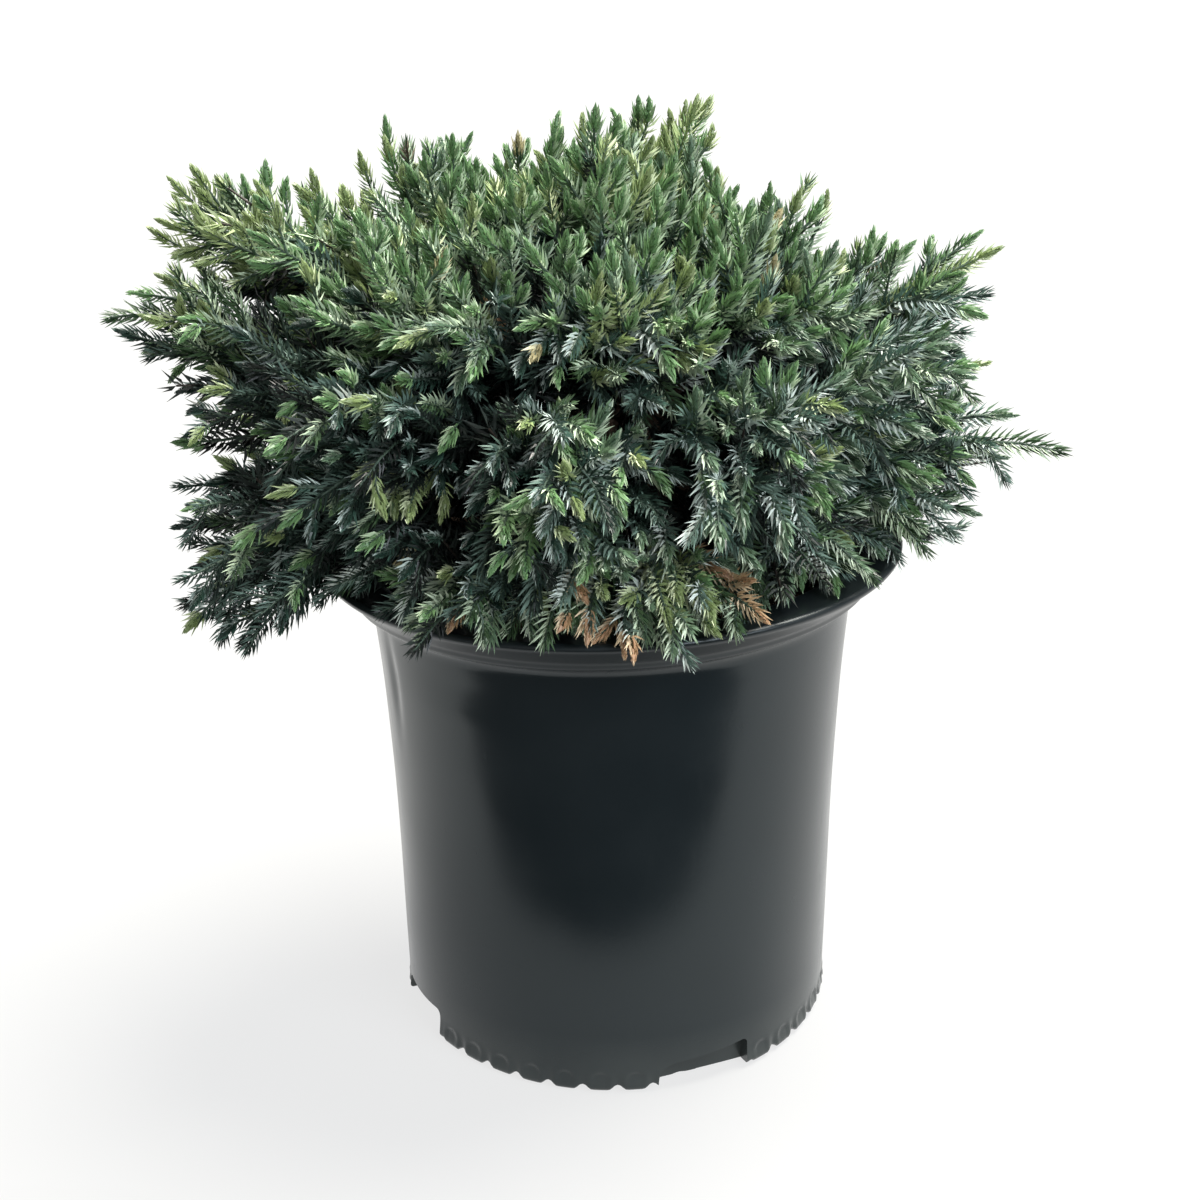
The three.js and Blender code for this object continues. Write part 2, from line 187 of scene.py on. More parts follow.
# the can
can = dict(
    height=200, footRadius=89.4, waistRadius=90.4, waistHeight=88, chestRadius=93.2, chestHeight=152,
    neckRadius=96, neckHeight=182, wall=2.6, floor=4, floorRadius=70, footRing=10, lipRadius=115.5,
    beadRadius=104.6, lobes=40, stepsPerLobe=13, lobeRise=2.4, lobeBulge=1.5,
    archWidth=8.6, archHeight=9.4, archDepth=0.9, archEdge=(0.66, 1.06),
    notches=4, notchWidth=39, notchHeights=(11.5, 14), notchAzimuth=-67, notchDepths=(9.5, 7.5),
    notchCorners=(8, 2.4), cornerSteps=6,
    rimRise=2, rimTilt=4.5, rimTiltAzimuth=-60,  # the rim stands askew, higher at the front right
    rowStep=7, footRowStep=0.9, footRowsTo=13, waviness=0.45, wavinessScale=75,
    # azimuth, height, width, tall and depth of each soft dent
    dents=[(205, 158, 6, 24, 0.9), (236, 170, 34, 6, 0.8), (250, 120, 70, 90, 0.7),
           (310, 60, 80, 60, -0.6), (40, 110, 46, 70, 0.9), (104, 60, 60, 40, 0.8), (160, 140, 30, 60, 0.6)],
    cloudSize=38, scuffSize=5, grainSize=1.4, dustTo=26, paintedLightFrom=184, paintedLightTo=192, sharpAngle=38,
)


def blowMouldedPolyethylene():
    # black blow-moulded polyethylene: a satin skin that takes up the mould's fine grain, with long soft
    # reflections, broken by slight scuffs and a little dust low on the wall, and a duller rim painted a
    # slightly paler charcoal as painted light
    material, tree, shader = newMaterial("blowMouldedPolyethylene", "#11181b", 0.22, 1.51)
    shader.inputs["Specular Tint"].default_value = linear("#e9f2f3")
    add = partial(addNode, tree)
    place = add("ShaderNodeTexCoord").outputs["Object"]
    level = add("ShaderNodeSeparateXYZ", {"Vector": place}).outputs["Z"]
    clouds = add("ShaderNodeTexNoise", {
        "Vector": place, "Scale": 1 / (can["cloudSize"] * mm), "Detail": 3})
    drawn = add("ShaderNodeMapping", {"Vector": place, "Scale": (1, 1, 0.18)})
    scuffs = add("ShaderNodeTexNoise", {
        "Vector": drawn, "Scale": 1 / (can["scuffSize"] * mm), "Detail": 5, "Roughness": 0.65})
    grain = add("ShaderNodeTexNoise", {
        "Vector": place, "Scale": 1 / (can["grainSize"] * mm), "Detail": 2})
    worn = add("ShaderNodeMapRange", {
        "Value": scuffs, "From Min": 0.6, "From Max": 0.82, "To Max": 0.5})
    dust = add("ShaderNodeMapRange", {
        "Value": level, "From Min": can["dustTo"] * mm, "From Max": 0.0, "To Max": 0.3})
    dusty = add("ShaderNodeMath", {0: dust, 1: clouds}, operation="MULTIPLY")
    # painted light: above this height the rim takes a slightly paler charcoal for light it lacks, and it is
    # also rougher and less glossy
    paintedLightDullRim = add("ShaderNodeMapRange", {
        "Value": level, "From Min": can["paintedLightFrom"] * mm, "From Max": can["paintedLightTo"] * mm})
    colour = linear("#0e1518")
    for share, laid in ((clouds, "#161d20"), (dusty, "#6d6f68"), (paintedLightDullRim, "#161b1d")):
        colour = add("ShaderNodeMix", {"Factor": share, 6: colour, 7: linear(laid)},
                     data_type="RGBA").outputs[2]
    satin = add("ShaderNodeMapRange", {
        "Value": clouds, "From Min": 0.3, "From Max": 0.7, "To Min": 0.18, "To Max": 0.25})
    scuffed = add("ShaderNodeMath", {0: worn, 1: 0.22, 2: satin}, operation="MULTIPLY_ADD")
    rough = add("ShaderNodeMath", {0: paintedLightDullRim, 1: 0.1, 2: scuffed}, operation="MULTIPLY_ADD")
    gloss = add("ShaderNodeMapRange", {"Value": paintedLightDullRim, "To Min": 0.5, "To Max": 0.36})
    bump = add("ShaderNodeBump", {"Height": grain, "Strength": 0.12, "Distance": 0.12 * mm})
    for made, name in ((colour, "Base Color"), (rough.outputs[0], "Roughness"),
                       (gloss.outputs[0], "Specular IOR Level"), (bump.outputs[0], "Normal")):
        tree.links.new(made, shader.inputs[name])
    return material


def canRadiusAt(height):
    levels = [0, can["waistHeight"], can["chestHeight"], can["neckHeight"]]
    radii = [can[part + "Radius"] for part in ("foot", "waist", "chest", "neck")]
    return float(np.interp(height, levels, radii))


def canCorners():
    # radius, height and rounding of each corner, from under the floor, up outside, over the rim, down inside
    top, neck, bead, lip = can["height"], can["neckHeight"], can["beadRadius"], can["lipRadius"]
    inner = can["neckRadius"] - can["wall"]
    return [
        (0, 0, 0), (can["footRadius"], 0, 3.2), (can["waistRadius"], can["waistHeight"], 30),
        (can["chestRadius"], can["chestHeight"], 14), (can["neckRadius"], neck, 5),
        (bead - 0.8, neck + 3.2, 1.4), (bead + 0.4, neck + 6.2, 1), (bead + 1.6, neck + 7.6, 1),
        (lip - 0.8, top - 3.2, 1.4), (lip, top - 1.4, 0.9), (lip - 1.6, top, 1), (bead + 1, top - 1.4, 4),
        (inner + 3, top - 2.2, 2), (inner + 0.6, top - 4.4, 2), (inner, neck, 8),
        (can["chestRadius"] - can["wall"], can["chestHeight"], 14),
        (canRadiusAt(can["footRing"]) - can["wall"], can["footRing"], 3),
        (can["floorRadius"], can["footRing"], 2), (can["floorRadius"], can["floor"], 2), (0, can["floor"], 0),
    ]


def roundedOutline(corners, steps=5):
    # each corner is cut back by its rounding and bridged by a short parabola
    outline = []
    for k, (radius, height, rounding) in enumerate(corners):
        corner = Vector((radius, height))
        if not rounding:
            outline.append(corner)
            continue
        before, after = (Vector(corners[k + way][:2]) - corner for way in (-1, 1))
        start = corner + before.normalized() * min(rounding, before.length * 0.48)
        end = corner + after.normalized() * min(rounding, after.length * 0.48)
        for n in range(steps + 1):
            share = n / steps
            outline.append(start.lerp(corner, share).lerp(corner.lerp(end, share), share))
    return outline


def dividedOutline(outline):
    # no row taller than the row step, and fine rows along the foot
    rows = [outline[0]]

    def divide(before, after, step):
        count = max(1, math.ceil((after - before).length / step))
        rows.extend(before.lerp(after, n / count) for n in range(1, count + 1))

    for before, after in zip(outline, outline[1:]):
        outside = min(before.x, after.x) > can["footRadius"] - 3
        fine = outside and max(before.y, after.y) < can["footRowsTo"] + 2
        if outside and not fine and before.y < can["footRowsTo"] < after.y:
            cut = before.lerp(after, (can["footRowsTo"] - before.y) / (after.y - before.y))
            divide(before, cut, can["footRowStep"])
            before = cut
        divide(before, after, can["footRowStep"] if fine else can["rowStep"])
    return rows


def turnedMesh(name, rows, sides, relief):
    # a closed turned form: rows of (radius, height), with poles where it starts and ends on the axis
    points = [Vector((0, 0, rows[0].y))]
    for row, (radius, height) in enumerate(rows[1:-1], 1):
        for side in range(sides):
            azimuth = 360 * side / sides
            r, z = relief(azimuth, radius, height, row)
            points.append(onCircle(r, azimuth, z))
    points.append(Vector((0, 0, rows[-1].y)))
    last = len(points) - 1
    faces = []
    for side in range(sides):
        beside = (side + 1) % sides
        faces.append((0, 1 + beside, 1 + side))
        for row in range(len(rows) - 3):
            a = 1 + row * sides
            faces.append((a + side, a + beside, a + sides + beside, a + sides + side))
        faces.append((last, last - sides + side, last - sides + beside))
    return newMesh(name, points, [], faces)


def turnFrom(azimuth, other):
    # signed difference of two azimuths, from -180 to 180
    return (azimuth - other + 180) % 360 - 180


def canRelief(outerRows):
    def shaped(azimuth, radius, height, row):
        level = height
        lifted = can["rimRise"] + can["rimTilt"] * math.cos(math.radians(azimuth - can["rimTiltAzimuth"]))
        height += lifted * smoothStep(can["neckHeight"] - 40, can["neckHeight"], height)
        if row > outerRows:
            return radius, height
        arc = math.radians(1) * radius  # millimetres to a degree
        pitch = 360 / can["lobes"]
        along = turnFrom(azimuth % pitch, pitch / 2) * arc
        between = smoothStep(0.2, 0.5, abs(along) / (pitch * arc))
        fromNotch = abs(turnFrom((azimuth - can["notchAzimuth"]) % (360 / can["notches"]), 0)) * arc
        plain = 1 - smoothStep(0, 3, fromNotch - can["notchWidth"] / 2 - 1)  # no lobes above a notch
        between = mix(between, 0.4, plain)
        if level < 4 and radius > can["footRadius"] - 8:  # the scalloped edge rises between its lobes
            height += can["lobeRise"] * between * (1 - smoothStep(0, 4, level))
        if radius > can["footRadius"] - 1.5:
            half = can["archWidth"] / 2
            over = max(level - (can["archHeight"] - half), 0)
            inside = math.hypot(along, over) / half
            radius -= can["archDepth"] * (1 - smoothStep(*can["archEdge"], inside)) * (1 - plain)
            radius += can["lobeBulge"] * (1 - 1.2 * between) * (1 - smoothStep(1, 11, level))
            for at, level, width, tall, depth in can["dents"]:
                across = turnFrom(azimuth, at) * arc / width
                radius -= depth * math.exp(-2 * (across ** 2 + ((height - level) / tall) ** 2))
            spot = onCircle(1, azimuth, height / 120)
            radius += can["waviness"] * noise.noise(spot * canRadiusAt(height) / can["wavinessScale"] * 1.4)
        return radius, height
    return shaped


def notchCutter(azimuth):
    # a wide low notch pushed into the foot, with one long and one tight rounded corner
    half, (low, high) = can["notchWidth"] / 2, can["notchHeights"]
    long, tight = can["notchCorners"]
    section = [(-half, -6), (half, -6)]
    corners = ((half - tight, high - tight, tight, 0), (long - half, low - long, long, 90))
    for across, level, radius, start in corners:
        for n in range(can["cornerSteps"] + 1):
            angle = math.radians(start + 90 * n / can["cornerSteps"])
            section.append((across + radius * math.cos(angle), level + radius * math.sin(angle)))
    turn = Quaternion(up, math.radians(azimuth))
    inner = [can["footRadius"] - mix(*can["notchDepths"], (u + half) / (2 * half)) for u, _ in section]
    outer = [can["footRadius"] + 12] * len(section)
    shape = bmesh.new()
    rings = [[shape.verts.new(turn @ Vector((r, u, z)) * mm) for r, (u, z) in zip(radii, section)]
             for radii in (inner, outer)]
    shape.faces.new(rings[0])
    shape.faces.new(rings[1])
    for k in range(len(section)):
        beside = (k + 1) % len(section)
        shape.faces.new((rings[0][k], rings[0][beside], rings[1][beside], rings[1][k]))
    bmesh.ops.recalc_face_normals(shape, faces=shape.faces)
    return newObject("notch", meshFrom("notch", shape))


def buildCan():
    rows = dividedOutline(roundedOutline(canCorners()))
    outerRows = next(k for k, row in enumerate(rows) if row.y > can["neckHeight"] - 1)
    sides = can["lobes"] * can["stepsPerLobe"]
    body = newObject("body", turnedMesh("body", rows, sides, canRelief(outerRows)))
    cutters = [notchCutter(can["notchAzimuth"] + k * 360 / can["notches"]) for k in range(can["notches"])]
    for cutter in cutters:
        cut = body.modifiers.new("notch", "BOOLEAN")
        cut.operation = "DIFFERENCE"
        cut.solver = "EXACT"
        cut.object = cutter
    mesh = evaluatedMesh(body)
    for helper in [body, *cutters]:
        bpy.data.objects.remove(helper)
    mesh.shade_smooth()
    mesh.set_sharp_from_angle(angle=math.radians(can["sharpAngle"]))
    mesh.materials.clear()
    mesh.materials.append(blowMouldedPolyethylene())
    piece = newObject("can_shell", mesh)
    finishPiece(piece, "can_plastic", "pot")
    print("can:", triangleCount(piece), "triangles")


# the growing mix
growingMix = dict(
    rimHeight=176, topHeight=182, flatRadius=24, crownShare=0.6, crownRise=3.5, relief=1.6, gap=0.6,
    footGap=0.4, sides=120, seed=4, chipDensity=14000, chipSize=7, chipSides=6, chipThickness=0.12,
    chipWidth=0.62,
)


def compostedBark():
    # composted bark and peat: matt dark brown crumbs, paler where a dry face is turned up
    made = newMaterial("compostedBark", "#33261c", 0.92)
    return mottled(made, 3, 4, ("#1c1510", "#4c3a2b"), strength=0.6, relief=0.8)


def chippedBark():
    # screened pine bark chips: flat corky flakes, reddish brown inside and grey on the weathered side
    return mottled(newMaterial("chippedBark", "#5a4331", 0.88), 9, 5, ("#38281d", "#7a6350"))


def chipShape():
    # a flat flake with a broken outline
    stream = random.Random(growingMix["seed"])
    shape = bmesh.new()
    for side, size in ((-1, 0.8), (1, 1)):
        for k in range(growingMix["chipSides"]):
            angle = math.radians(360 / growingMix["chipSides"] * k + stream.uniform(-16, 16))
            reach = size * stream.uniform(0.36, 0.58)
            across = growingMix["chipWidth"] * reach * math.sin(angle)
            shape.verts.new(Vector((reach * math.cos(angle), across, side * growingMix["chipThickness"])))
    bmesh.ops.convex_hull(shape, input=shape.verts)
    bmesh.ops.recalc_face_normals(shape, faces=shape.faces)
    return newObject("chip", meshFrom("chip", shape))


def chipTree(material):
    # chips strewn over the faces that look up
    tree, given, output = newTree("chipsOverMix", {
        "Chip": "Object", "Chip Size": "Float", "Density": "Float", "Lowest": "Float", "Seed": "Int"})
    add = partial(addNode, tree)
    facing = add("ShaderNodeSeparateXYZ", {0: add("GeometryNodeInputNormal")})
    upward = add("FunctionNodeCompare", {0: facing.outputs["Z"], 1: 0.6}, operation="GREATER_THAN")
    place = add("ShaderNodeSeparateXYZ", {0: add("GeometryNodeInputPosition")})
    high = add("FunctionNodeCompare", {0: place.outputs["Z"], 1: given["Lowest"]}, operation="GREATER_THAN")
    chosen = add("FunctionNodeBooleanMath", {0: upward, 1: high}, operation="AND")
    strewn = add("GeometryNodeDistributePointsOnFaces", {
        "Mesh": given["Geometry"], "Selection": chosen, "Density": given["Density"], "Seed": given["Seed"]})
    tilt = add("FunctionNodeRandomValue", {
        0: (-0.5, -0.5, 0), 1: (0.5, 0.5, 6.28), "Seed": given["Seed"]}, data_type="FLOAT_VECTOR")
    spread = add("FunctionNodeRandomValue", {2: 0.35, 3: 1.2, "Seed": given["Seed"]}, data_type="FLOAT")
    size = add("ShaderNodeMath", {0: spread.outputs[1], 1: given["Chip Size"]}, operation="MULTIPLY")
    chip = add("GeometryNodeObjectInfo", {"Object": given["Chip"]})
    laid = add("GeometryNodeInstanceOnPoints", {
        "Points": strewn, "Instance": chip.outputs["Geometry"],
        "Rotation": add("FunctionNodeEulerToRotation", {0: tilt}), "Scale": size})
    real = add("GeometryNodeRealizeInstances", {0: laid})
    done = add("GeometryNodeSetMaterial", {"Geometry": real, "Material": material})
    tree.links.new(done.outputs[0], output)
    return tree


def buildMix():
    inner, foot = can["wall"] + growingMix["gap"], growingMix["footGap"]
    rim, top = growingMix["rimHeight"], growingMix["topHeight"]
    corners = [
        (0, can["floor"] + foot, 0), (can["floorRadius"] - foot, can["floor"] + foot, 1),
        (can["floorRadius"] - foot, can["footRing"] + foot, 1),
        (canRadiusAt(can["footRing"]) - inner, can["footRing"] + foot, 1),
        (can["waistRadius"] - inner, can["waistHeight"], 10),
        (can["chestRadius"] - inner, can["chestHeight"], 6), (canRadiusAt(rim) - inner, rim, 2),
        (growingMix["crownShare"] * can["neckRadius"], rim + growingMix["crownRise"], 12),
        (growingMix["flatRadius"], top, 6), (0, top, 0)]
    rows = dividedOutline(roundedOutline(corners))

    def crumbled(azimuth, radius, height, row):
        if height < rim - 1 or radius > canRadiusAt(height) - inner - 1:
            return radius, height
        spot = onCircle(radius, azimuth)
        coarse, fine = noise.noise(spot / 11), noise.noise(spot / 4)
        return radius, height + growingMix["relief"] * (0.8 * coarse + 0.4 * fine - 0.6)

    mesh = turnedMesh("growing_mix", rows, growingMix["sides"], crumbled)
    mesh.shade_smooth()
    mesh.materials.append(compostedBark())
    chip = chipShape()
    chips = throughTree("bark_chips", mesh, chipTree(chippedBark()), {
        "Chip": chip, "Chip Size": growingMix["chipSize"] * mm, "Density": growingMix["chipDensity"],
        "Lowest": can["chestHeight"] * mm, "Seed": growingMix["seed"]})
    bpy.data.objects.remove(chip)
    bed = newObject("growing_mix", mesh)
    finishPiece(bed, "growing_mix", "soil")
    finishPiece(chips, "growing_mix")
    print("mix:", triangleCount(bed), "triangles, chips", triangleCount(chips))


# trunk and boughs
trunk = dict(base=182.3, height=68, footRadius=15, waistRadius=9.5, tipRadius=6.5, lean=(-5, 3), sides=40,
             rows=56, ridgeDepth=1.1, ridgeScale=1.6, sunk=5, topBack=1.5, flareFall=9)
bough = dict(rootRadius=2.6, tipRadius=1.9, share=0.4, sag=4, sides=12, rows=18, ridgeDepth=0.32,
             ridgeScale=0.8)
forkHeights = dict(skirt=216, shoulder=226, upper=236, crown=244)
forkStagger = 3

# one mass of foliage to a bough: azimuth, lift, reach of the leading shoot, reach of the flank shoots
masses = dict(
    skirt_right=(355, 9, 180, 148),
    skirt_right_back=(40, -2, 148, 138),
    skirt_back_right=(82, -4, 142, 132),
    skirt_back_left=(122, -4, 150, 138),
    skirt_left_back=(161, -3, 168, 156),
    skirt_left=(199, -2, 178, 168),
    skirt_left_front=(240, -4, 142, 134),
    skirt_front=(279, -4, 138, 130),
    skirt_right_front=(318, -1, 138, 128),
    shoulder_right=(7, 31, 180, 160),
    shoulder_right_back=(58, 20, 152, 142),
    shoulder_back_right=(100, 18, 148, 138),
    shoulder_back_left=(142, 17, 162, 150),
    shoulder_left=(183, 20, 203, 174),
    shoulder_left_front=(223, 16, 160, 150),
    shoulder_front_left=(261, 17, 150, 140),
    shoulder_front_right=(300, 18, 148, 138),
    shoulder_right_front=(338, 20, 152, 144),
    upper_right=(37, 43, 137, 130),
    upper_back=(95, 42, 144, 132),
    upper_left=(173, 36, 204, 172),
    upper_left_front=(224, 45, 152, 142),
    upper_front=(272, 45, 140, 130),
    upper_right_front=(325, 44, 142, 130),
    crown_right=(46, 70, 152, 128),
    crown_left=(157, 53, 152, 138),
    crown_front=(272, 79, 140, 126),
)


def leaningFrom(axis, off, turn):
    # the direction off degrees away from axis, at turn degrees round it
    side = Quaternion(axis, math.radians(turn)) @ up.cross(axis).normalized()
    return Quaternion(side, math.radians(off)) @ axis


def trunkShare(height):
    return min(max((height - trunk["base"]) / trunk["height"], 0), 1)


def trunkAt(height):
    share = trunkShare(height)
    return Vector((trunk["lean"][0] * share ** 2, trunk["lean"][1] * share ** 2, height))


def trunkRadiusAt(height):
    share = trunkShare(height)
    flare = (trunk["footRadius"] - trunk["waistRadius"]) * math.exp(-trunk["flareFall"] * share)
    return mix(trunk["waistRadius"], trunk["tipRadius"], share) + flare


def layOut():
    # each mass with its bough: where it forks, where it points and how far it goes
    laid = []
    for index, (name, (azimuth, lift, reach, flank)) in enumerate(masses.items()):
        tier = name.split("_")[0]
        height = forkHeights[tier] + forkStagger * (index % 3 - 1)
        fork = trunkAt(height) + heading(azimuth, 0) * 0.6 * trunkRadiusAt(height)
        aim = heading(azimuth, lift)
        laid.append(dict(name=name, tier=tier, index=index, fork=fork, aim=aim, reach=reach, flank=flank,
                         boughLength=bough["share"] * flank, tip=fork + aim * reach))
    return laid


crown = layOut()


def peelingBark():
    # juniper bark: thin papery strips that peel lengthwise, grey-brown outside and rusty underneath
    made = newMaterial("peelingBark", "#4c3b2f", 0.86)
    return mottled(made, 2.2, 6, ("#2a201a", "#6f5c4c"), broken=0.6, flat=0.22, strength=0.5, relief=0.4)


def limbMesh(points, faces, stations, radii, sides, relief):
    # adds one tapering limb with rounded ends; relief gives the bark's height at an angle and a distance
    first = len(points)
    travelled = 0
    for k, station in enumerate(stations):
        before, after = stations[max(k - 1, 0)], stations[min(k + 1, len(stations) - 1)]
        along = (after - before).normalized()
        across = (Vector((1, 0, 0)) if abs(along.z) > 0.9 else up).cross(along).normalized()
        travelled += (station - before).length
        for side in range(sides):
            angle = 2 * math.pi * side / sides
            out = Quaternion(along, angle) @ across
            points.append(station + out * (radii[k] + relief(angle, travelled)))
    for k in range(len(stations) - 1):
        for side in range(sides):
            a = first + k * sides + side
            b = first + k * sides + (side + 1) % sides
            faces.append((a, b, b + sides, a + sides))
    points.append(stations[0])
    points.append(stations[-1] + (stations[-1] - stations[-2]).normalized() * radii[-1] * 0.5)
    last = first + (len(stations) - 1) * sides
    for side in range(sides):
        beside = (side + 1) % sides
        faces.append((len(points) - 2, first + beside, first + side))
        faces.append((len(points) - 1, last + side, last + beside))


def barkRidges(depth, seed, scale):
    # long ridges that fork and end, with a finer flaking over them
    def relief(angle, travelled):
        spot = Vector((math.cos(angle) * scale, math.sin(angle) * scale, travelled / 22 + seed))
        ridge = 1 - abs(noise.noise(spot * 1.7)) * 2.4
        flake = noise.noise(Vector((spot.x * 4, spot.y * 4, travelled / 5 + seed)))
        return depth * (0.7 * ridge + 0.35 * flake)
    return relief


def boughStation(mass, share):
    station = mass["fork"] + mass["aim"] * share * mass["boughLength"]
    station.z -= bough["sag"] * math.sin(math.pi * share) ** 2
    return station


def woodyPiece(name, limbs, material):
    points, faces = [], []
    for stations, radii, sides, relief in limbs:
        limbMesh(points, faces, stations, radii, sides, relief)
    mesh = newMesh(name, points, [], faces)
    mesh.shade_smooth()
    mesh.materials.append(material)
    return newObject(name, mesh)


def trunkLimb():
    low, top = trunk["base"] - trunk["sunk"], trunk["base"] + trunk["height"] - trunk["topBack"]
    heights = [mix(low, top, k / trunk["rows"]) for k in range(trunk["rows"] + 1)]
    radii = [trunkRadiusAt(height) - trunk["ridgeDepth"] * 0.5 for height in heights]
    ridges = barkRidges(trunk["ridgeDepth"], 3, trunk["ridgeScale"])
    return [trunkAt(height) for height in heights], radii, trunk["sides"], ridges


def boughLimb(mass):
    shares = [k / bough["rows"] for k in range(bough["rows"] + 1)]
    radii = [mix(bough["rootRadius"], bough["tipRadius"], share) for share in shares]
    ridges = barkRidges(bough["ridgeDepth"], 10 * mass["index"], bough["ridgeScale"])
    return [boughStation(mass, share) for share in shares], radii, bough["sides"], ridges


def buildWood():
    bark = peelingBark()
    stem = woodyPiece("trunk_bark", [trunkLimb()], bark)
    finishPiece(stem, "bark", "trunk")
    print("trunk:", triangleCount(stem), "triangles")
    for tier in forkHeights:
        members = [mass for mass in crown if mass["tier"] == tier]
        piece = woodyPiece("boughs_" + tier, [boughLimb(mass) for mass in members], bark)
        finishPiece(piece, "bark", *["bough_" + mass["name"] for mass in members])
        print("boughs", tier + ":", triangleCount(piece), "triangles")


# how the shoots grow: the rule of the solids, carried on to finer sprays
growth = dict(
    goldenAngle=137.508, halfAngle=26, domeDrop=14, heartStart=9, tries=70, spacing=25, fan=1.3, fanMost=52,
    shootLength=42, twigRise=14, rimClear=4.5, lipClear=4, rimShelf=7, rimFall=0.8, frontFall=0.35,
    crossing=5,          # how far a spray's line may pass into its neighbour's space
    faceSlack=4, shelfSlack=3,  # how far a side spray may pass its mass's face or dip under the rim's shelf
    tipBack=5,           # the last whorl's needles reach on past the twig
    relief=13, reliefScale=30,  # how far the crown's face swells and sinks, and over what distance
    sway=24, fillSway=40,       # how far shoots turn from straight outward, in degrees
    rise=0.9, nod=0.1, frontNod=0.6,
    pathSteps=14, sideSteps=8, wander=2.6,
    sideFrom=9, sideStep=6.2, sideTo=62, sideShare=0.4, sideBase=11, sideMost=31, sideAngle=48,
    sideAngleJitter=16, sideTurnJitter=35, sideSweep=0.5, sideNod=1.3, sideShade=(30, 70),
    leadRadius=1.35, sideRadius=0.75, fillRadius=1.0, stemRadius=1.8,
    leadBare=5, sideBare=2.5, fillBare=3,
    greenLength=46,      # shoots younger than this are still green
    leafyMost=52,        # needles older than this have been shed
    tipGap=7.8,          # no two spray tips closer than this
    fillTries=700, fillSpread=6, fillTurn=40, fillLengths=(18, 34), fillRise=22, fillHeart=4,
    sideFill=0.88,       # at the two sides the shoots stand out of the filling more
    # share of the dome's reach, gap between tips and how deep in shade each filling layer lies
    fillLayers=((0.96, 8.4, 0.05), (0.87, 9.6, 0.45), (0.75, 12, 1.0), (0.6, 14, 1.0)),
)
crownCentre = Vector((0, 0, 235))
# where the crown stands out or falls in: azimuth, lift, spread and how far
swells = (
    (178, 28, 8, 5), (180, 48, 10, -22), (166, 43, 10, -17), (186, 9, 10, -24), (199, -8, 7, -14),
    (150, 66, 13, -19), (205, 82, 10, -14), (47, 71, 8, -14), (32, 61, 11, -27), (45, 48, 9, -10),
    (336, 68, 8, -9), (9, 42, 12, -27), (5, 18, 8, -13), (350, -9, 10, -22), (340, -15, 8, -14),
    (313, -7, 14, -24), (247, 22, 8, -27), (242, 11, 7, -24), (283, 16, 5, -20), (300, 12, 5, -20),
    (239, 45, 4, -10), (218, -18, 9, -18), (191, -12, 8, -12), (179, 5, 6, -9), (166, 39, 7, -13),
    (149, 64, 8, -11), (352, -3, 8, -10), (359, 10, 6, -12), (342, 1, 6, -7), (193, 9, 8, -8),
    (178, 11, 6, -7), (359, 24, 6, -6), (262, -12, 12, -12), (287, -12, 12, -12), (242, -14, 10, -12),
    (355, 8, 14, -6), (184, 0, 16, -6), (267, 35, 9, 6), (299, 29, 9, 8), (262, 6, 10, 5), (231, 37, 10, 4),
)
# single shoots clear of the rest: azimuth, lift and reach of the tip from the crown's centre, and the
# shoot's own lift
standing = (
    (24, 46, 138, 75), (15, 36, 141, 60), (2, 28, 173, 20), (173, 33, 203, 50), (155, 54, 161, 82),
    (37, 69, 146, 58), (68, 76, 141, 85), (181, 17, 203, -8), (4, 31, 170, 35), (350, 3, 178, -12),
    (197, -17, 180, -45), (203, -20, 164, -55), (209, -17, 150, -40), (182, 21, 197, 5), (180, 24, 190, 30),
    (177, 29, 198, 25), (157, 48, 157, 80), (129, 66, 134, 85), (141, 56, 145, 80), (9, 34, 147, 50),
    (348, -6, 148, -15), (356, 15, 154, 5), (39, 71, 145, 60), (161, 42, 164, 85), (164, 36, 184, 80),
    (272, -15, 128, -52), (259, -13, 129, -50), (242, -13, 127, -45), (286, -9, 131, -40),
    (296, -11, 129, -20), (249, -15, 126, -55), (266, -13, 126, -55), (279, -10, 130, -50),
    (305, -6, 135, -30), (356, 21, 156, -25), (351, 20, 143, 0), (355, 7, 161, 0), (351, -3, 156, -60),
    (346, -10, 142, -35), (339, -12, 133, -55), (338, 2, 135, -10), (182, 15, 185, -5), (185, 11, 171, -15),
    (183, 4, 172, 5), (183, -2, 174, 0), (185, -7, 176, -5), (187, -12, 173, 0), (186, -17, 183, -10),
    (22, 10, 160, 10), (40, 5, 150, 0), (140, 8, 162, 5), (160, 0, 170, -5), (90, 12, 148, 10),
)
limbForks, limbTips = (np.array([mass[end] for mass in crown]) for end in ("fork", "tip"))
swellLines = np.array([heading(azimuth, lift) for azimuth, lift, *_ in swells])
swellSpreads, swellHeights = np.array(swells, float)[:, 2:].T


def numberStream(seed):
    # the repeatable stream that the solids draw their shoots from
    state = seed
    full = 0xFFFFFFFF

    def following():
        nonlocal state
        state = (state + 0x6D2B79F5) & full
        t = state
        t = ((t ^ (t >> 15)) * (t | 1)) & full
        t ^= (t + (((t ^ (t >> 7)) * (t | 61)) & full)) & full
        return ((t ^ (t >> 14)) & full) / (full + 1)

    return following


def lineDistances(point):
    # how far a point lies from every mass's middle line
    spans = limbTips - limbForks
    away = np.array(point) - limbForks
    share = np.clip((away * spans).sum(1) / (spans * spans).sum(1), 0, 1)
    return np.linalg.norm(away - share[:, None] * spans, axis=1)


def spaceLeft(mass, point):
    # how much nearer a point lies to its own mass's middle line than to any other
    distances = lineDistances(point)
    own = distances[mass["index"]]
    distances[mass["index"]] = np.inf
    return distances.min() - own


def isClearOfCan(point):
    radius = math.hypot(point.x, point.y)
    return point.z > can["height"] + growth["rimClear"] or radius > can["lipRadius"] + growth["lipClear"]


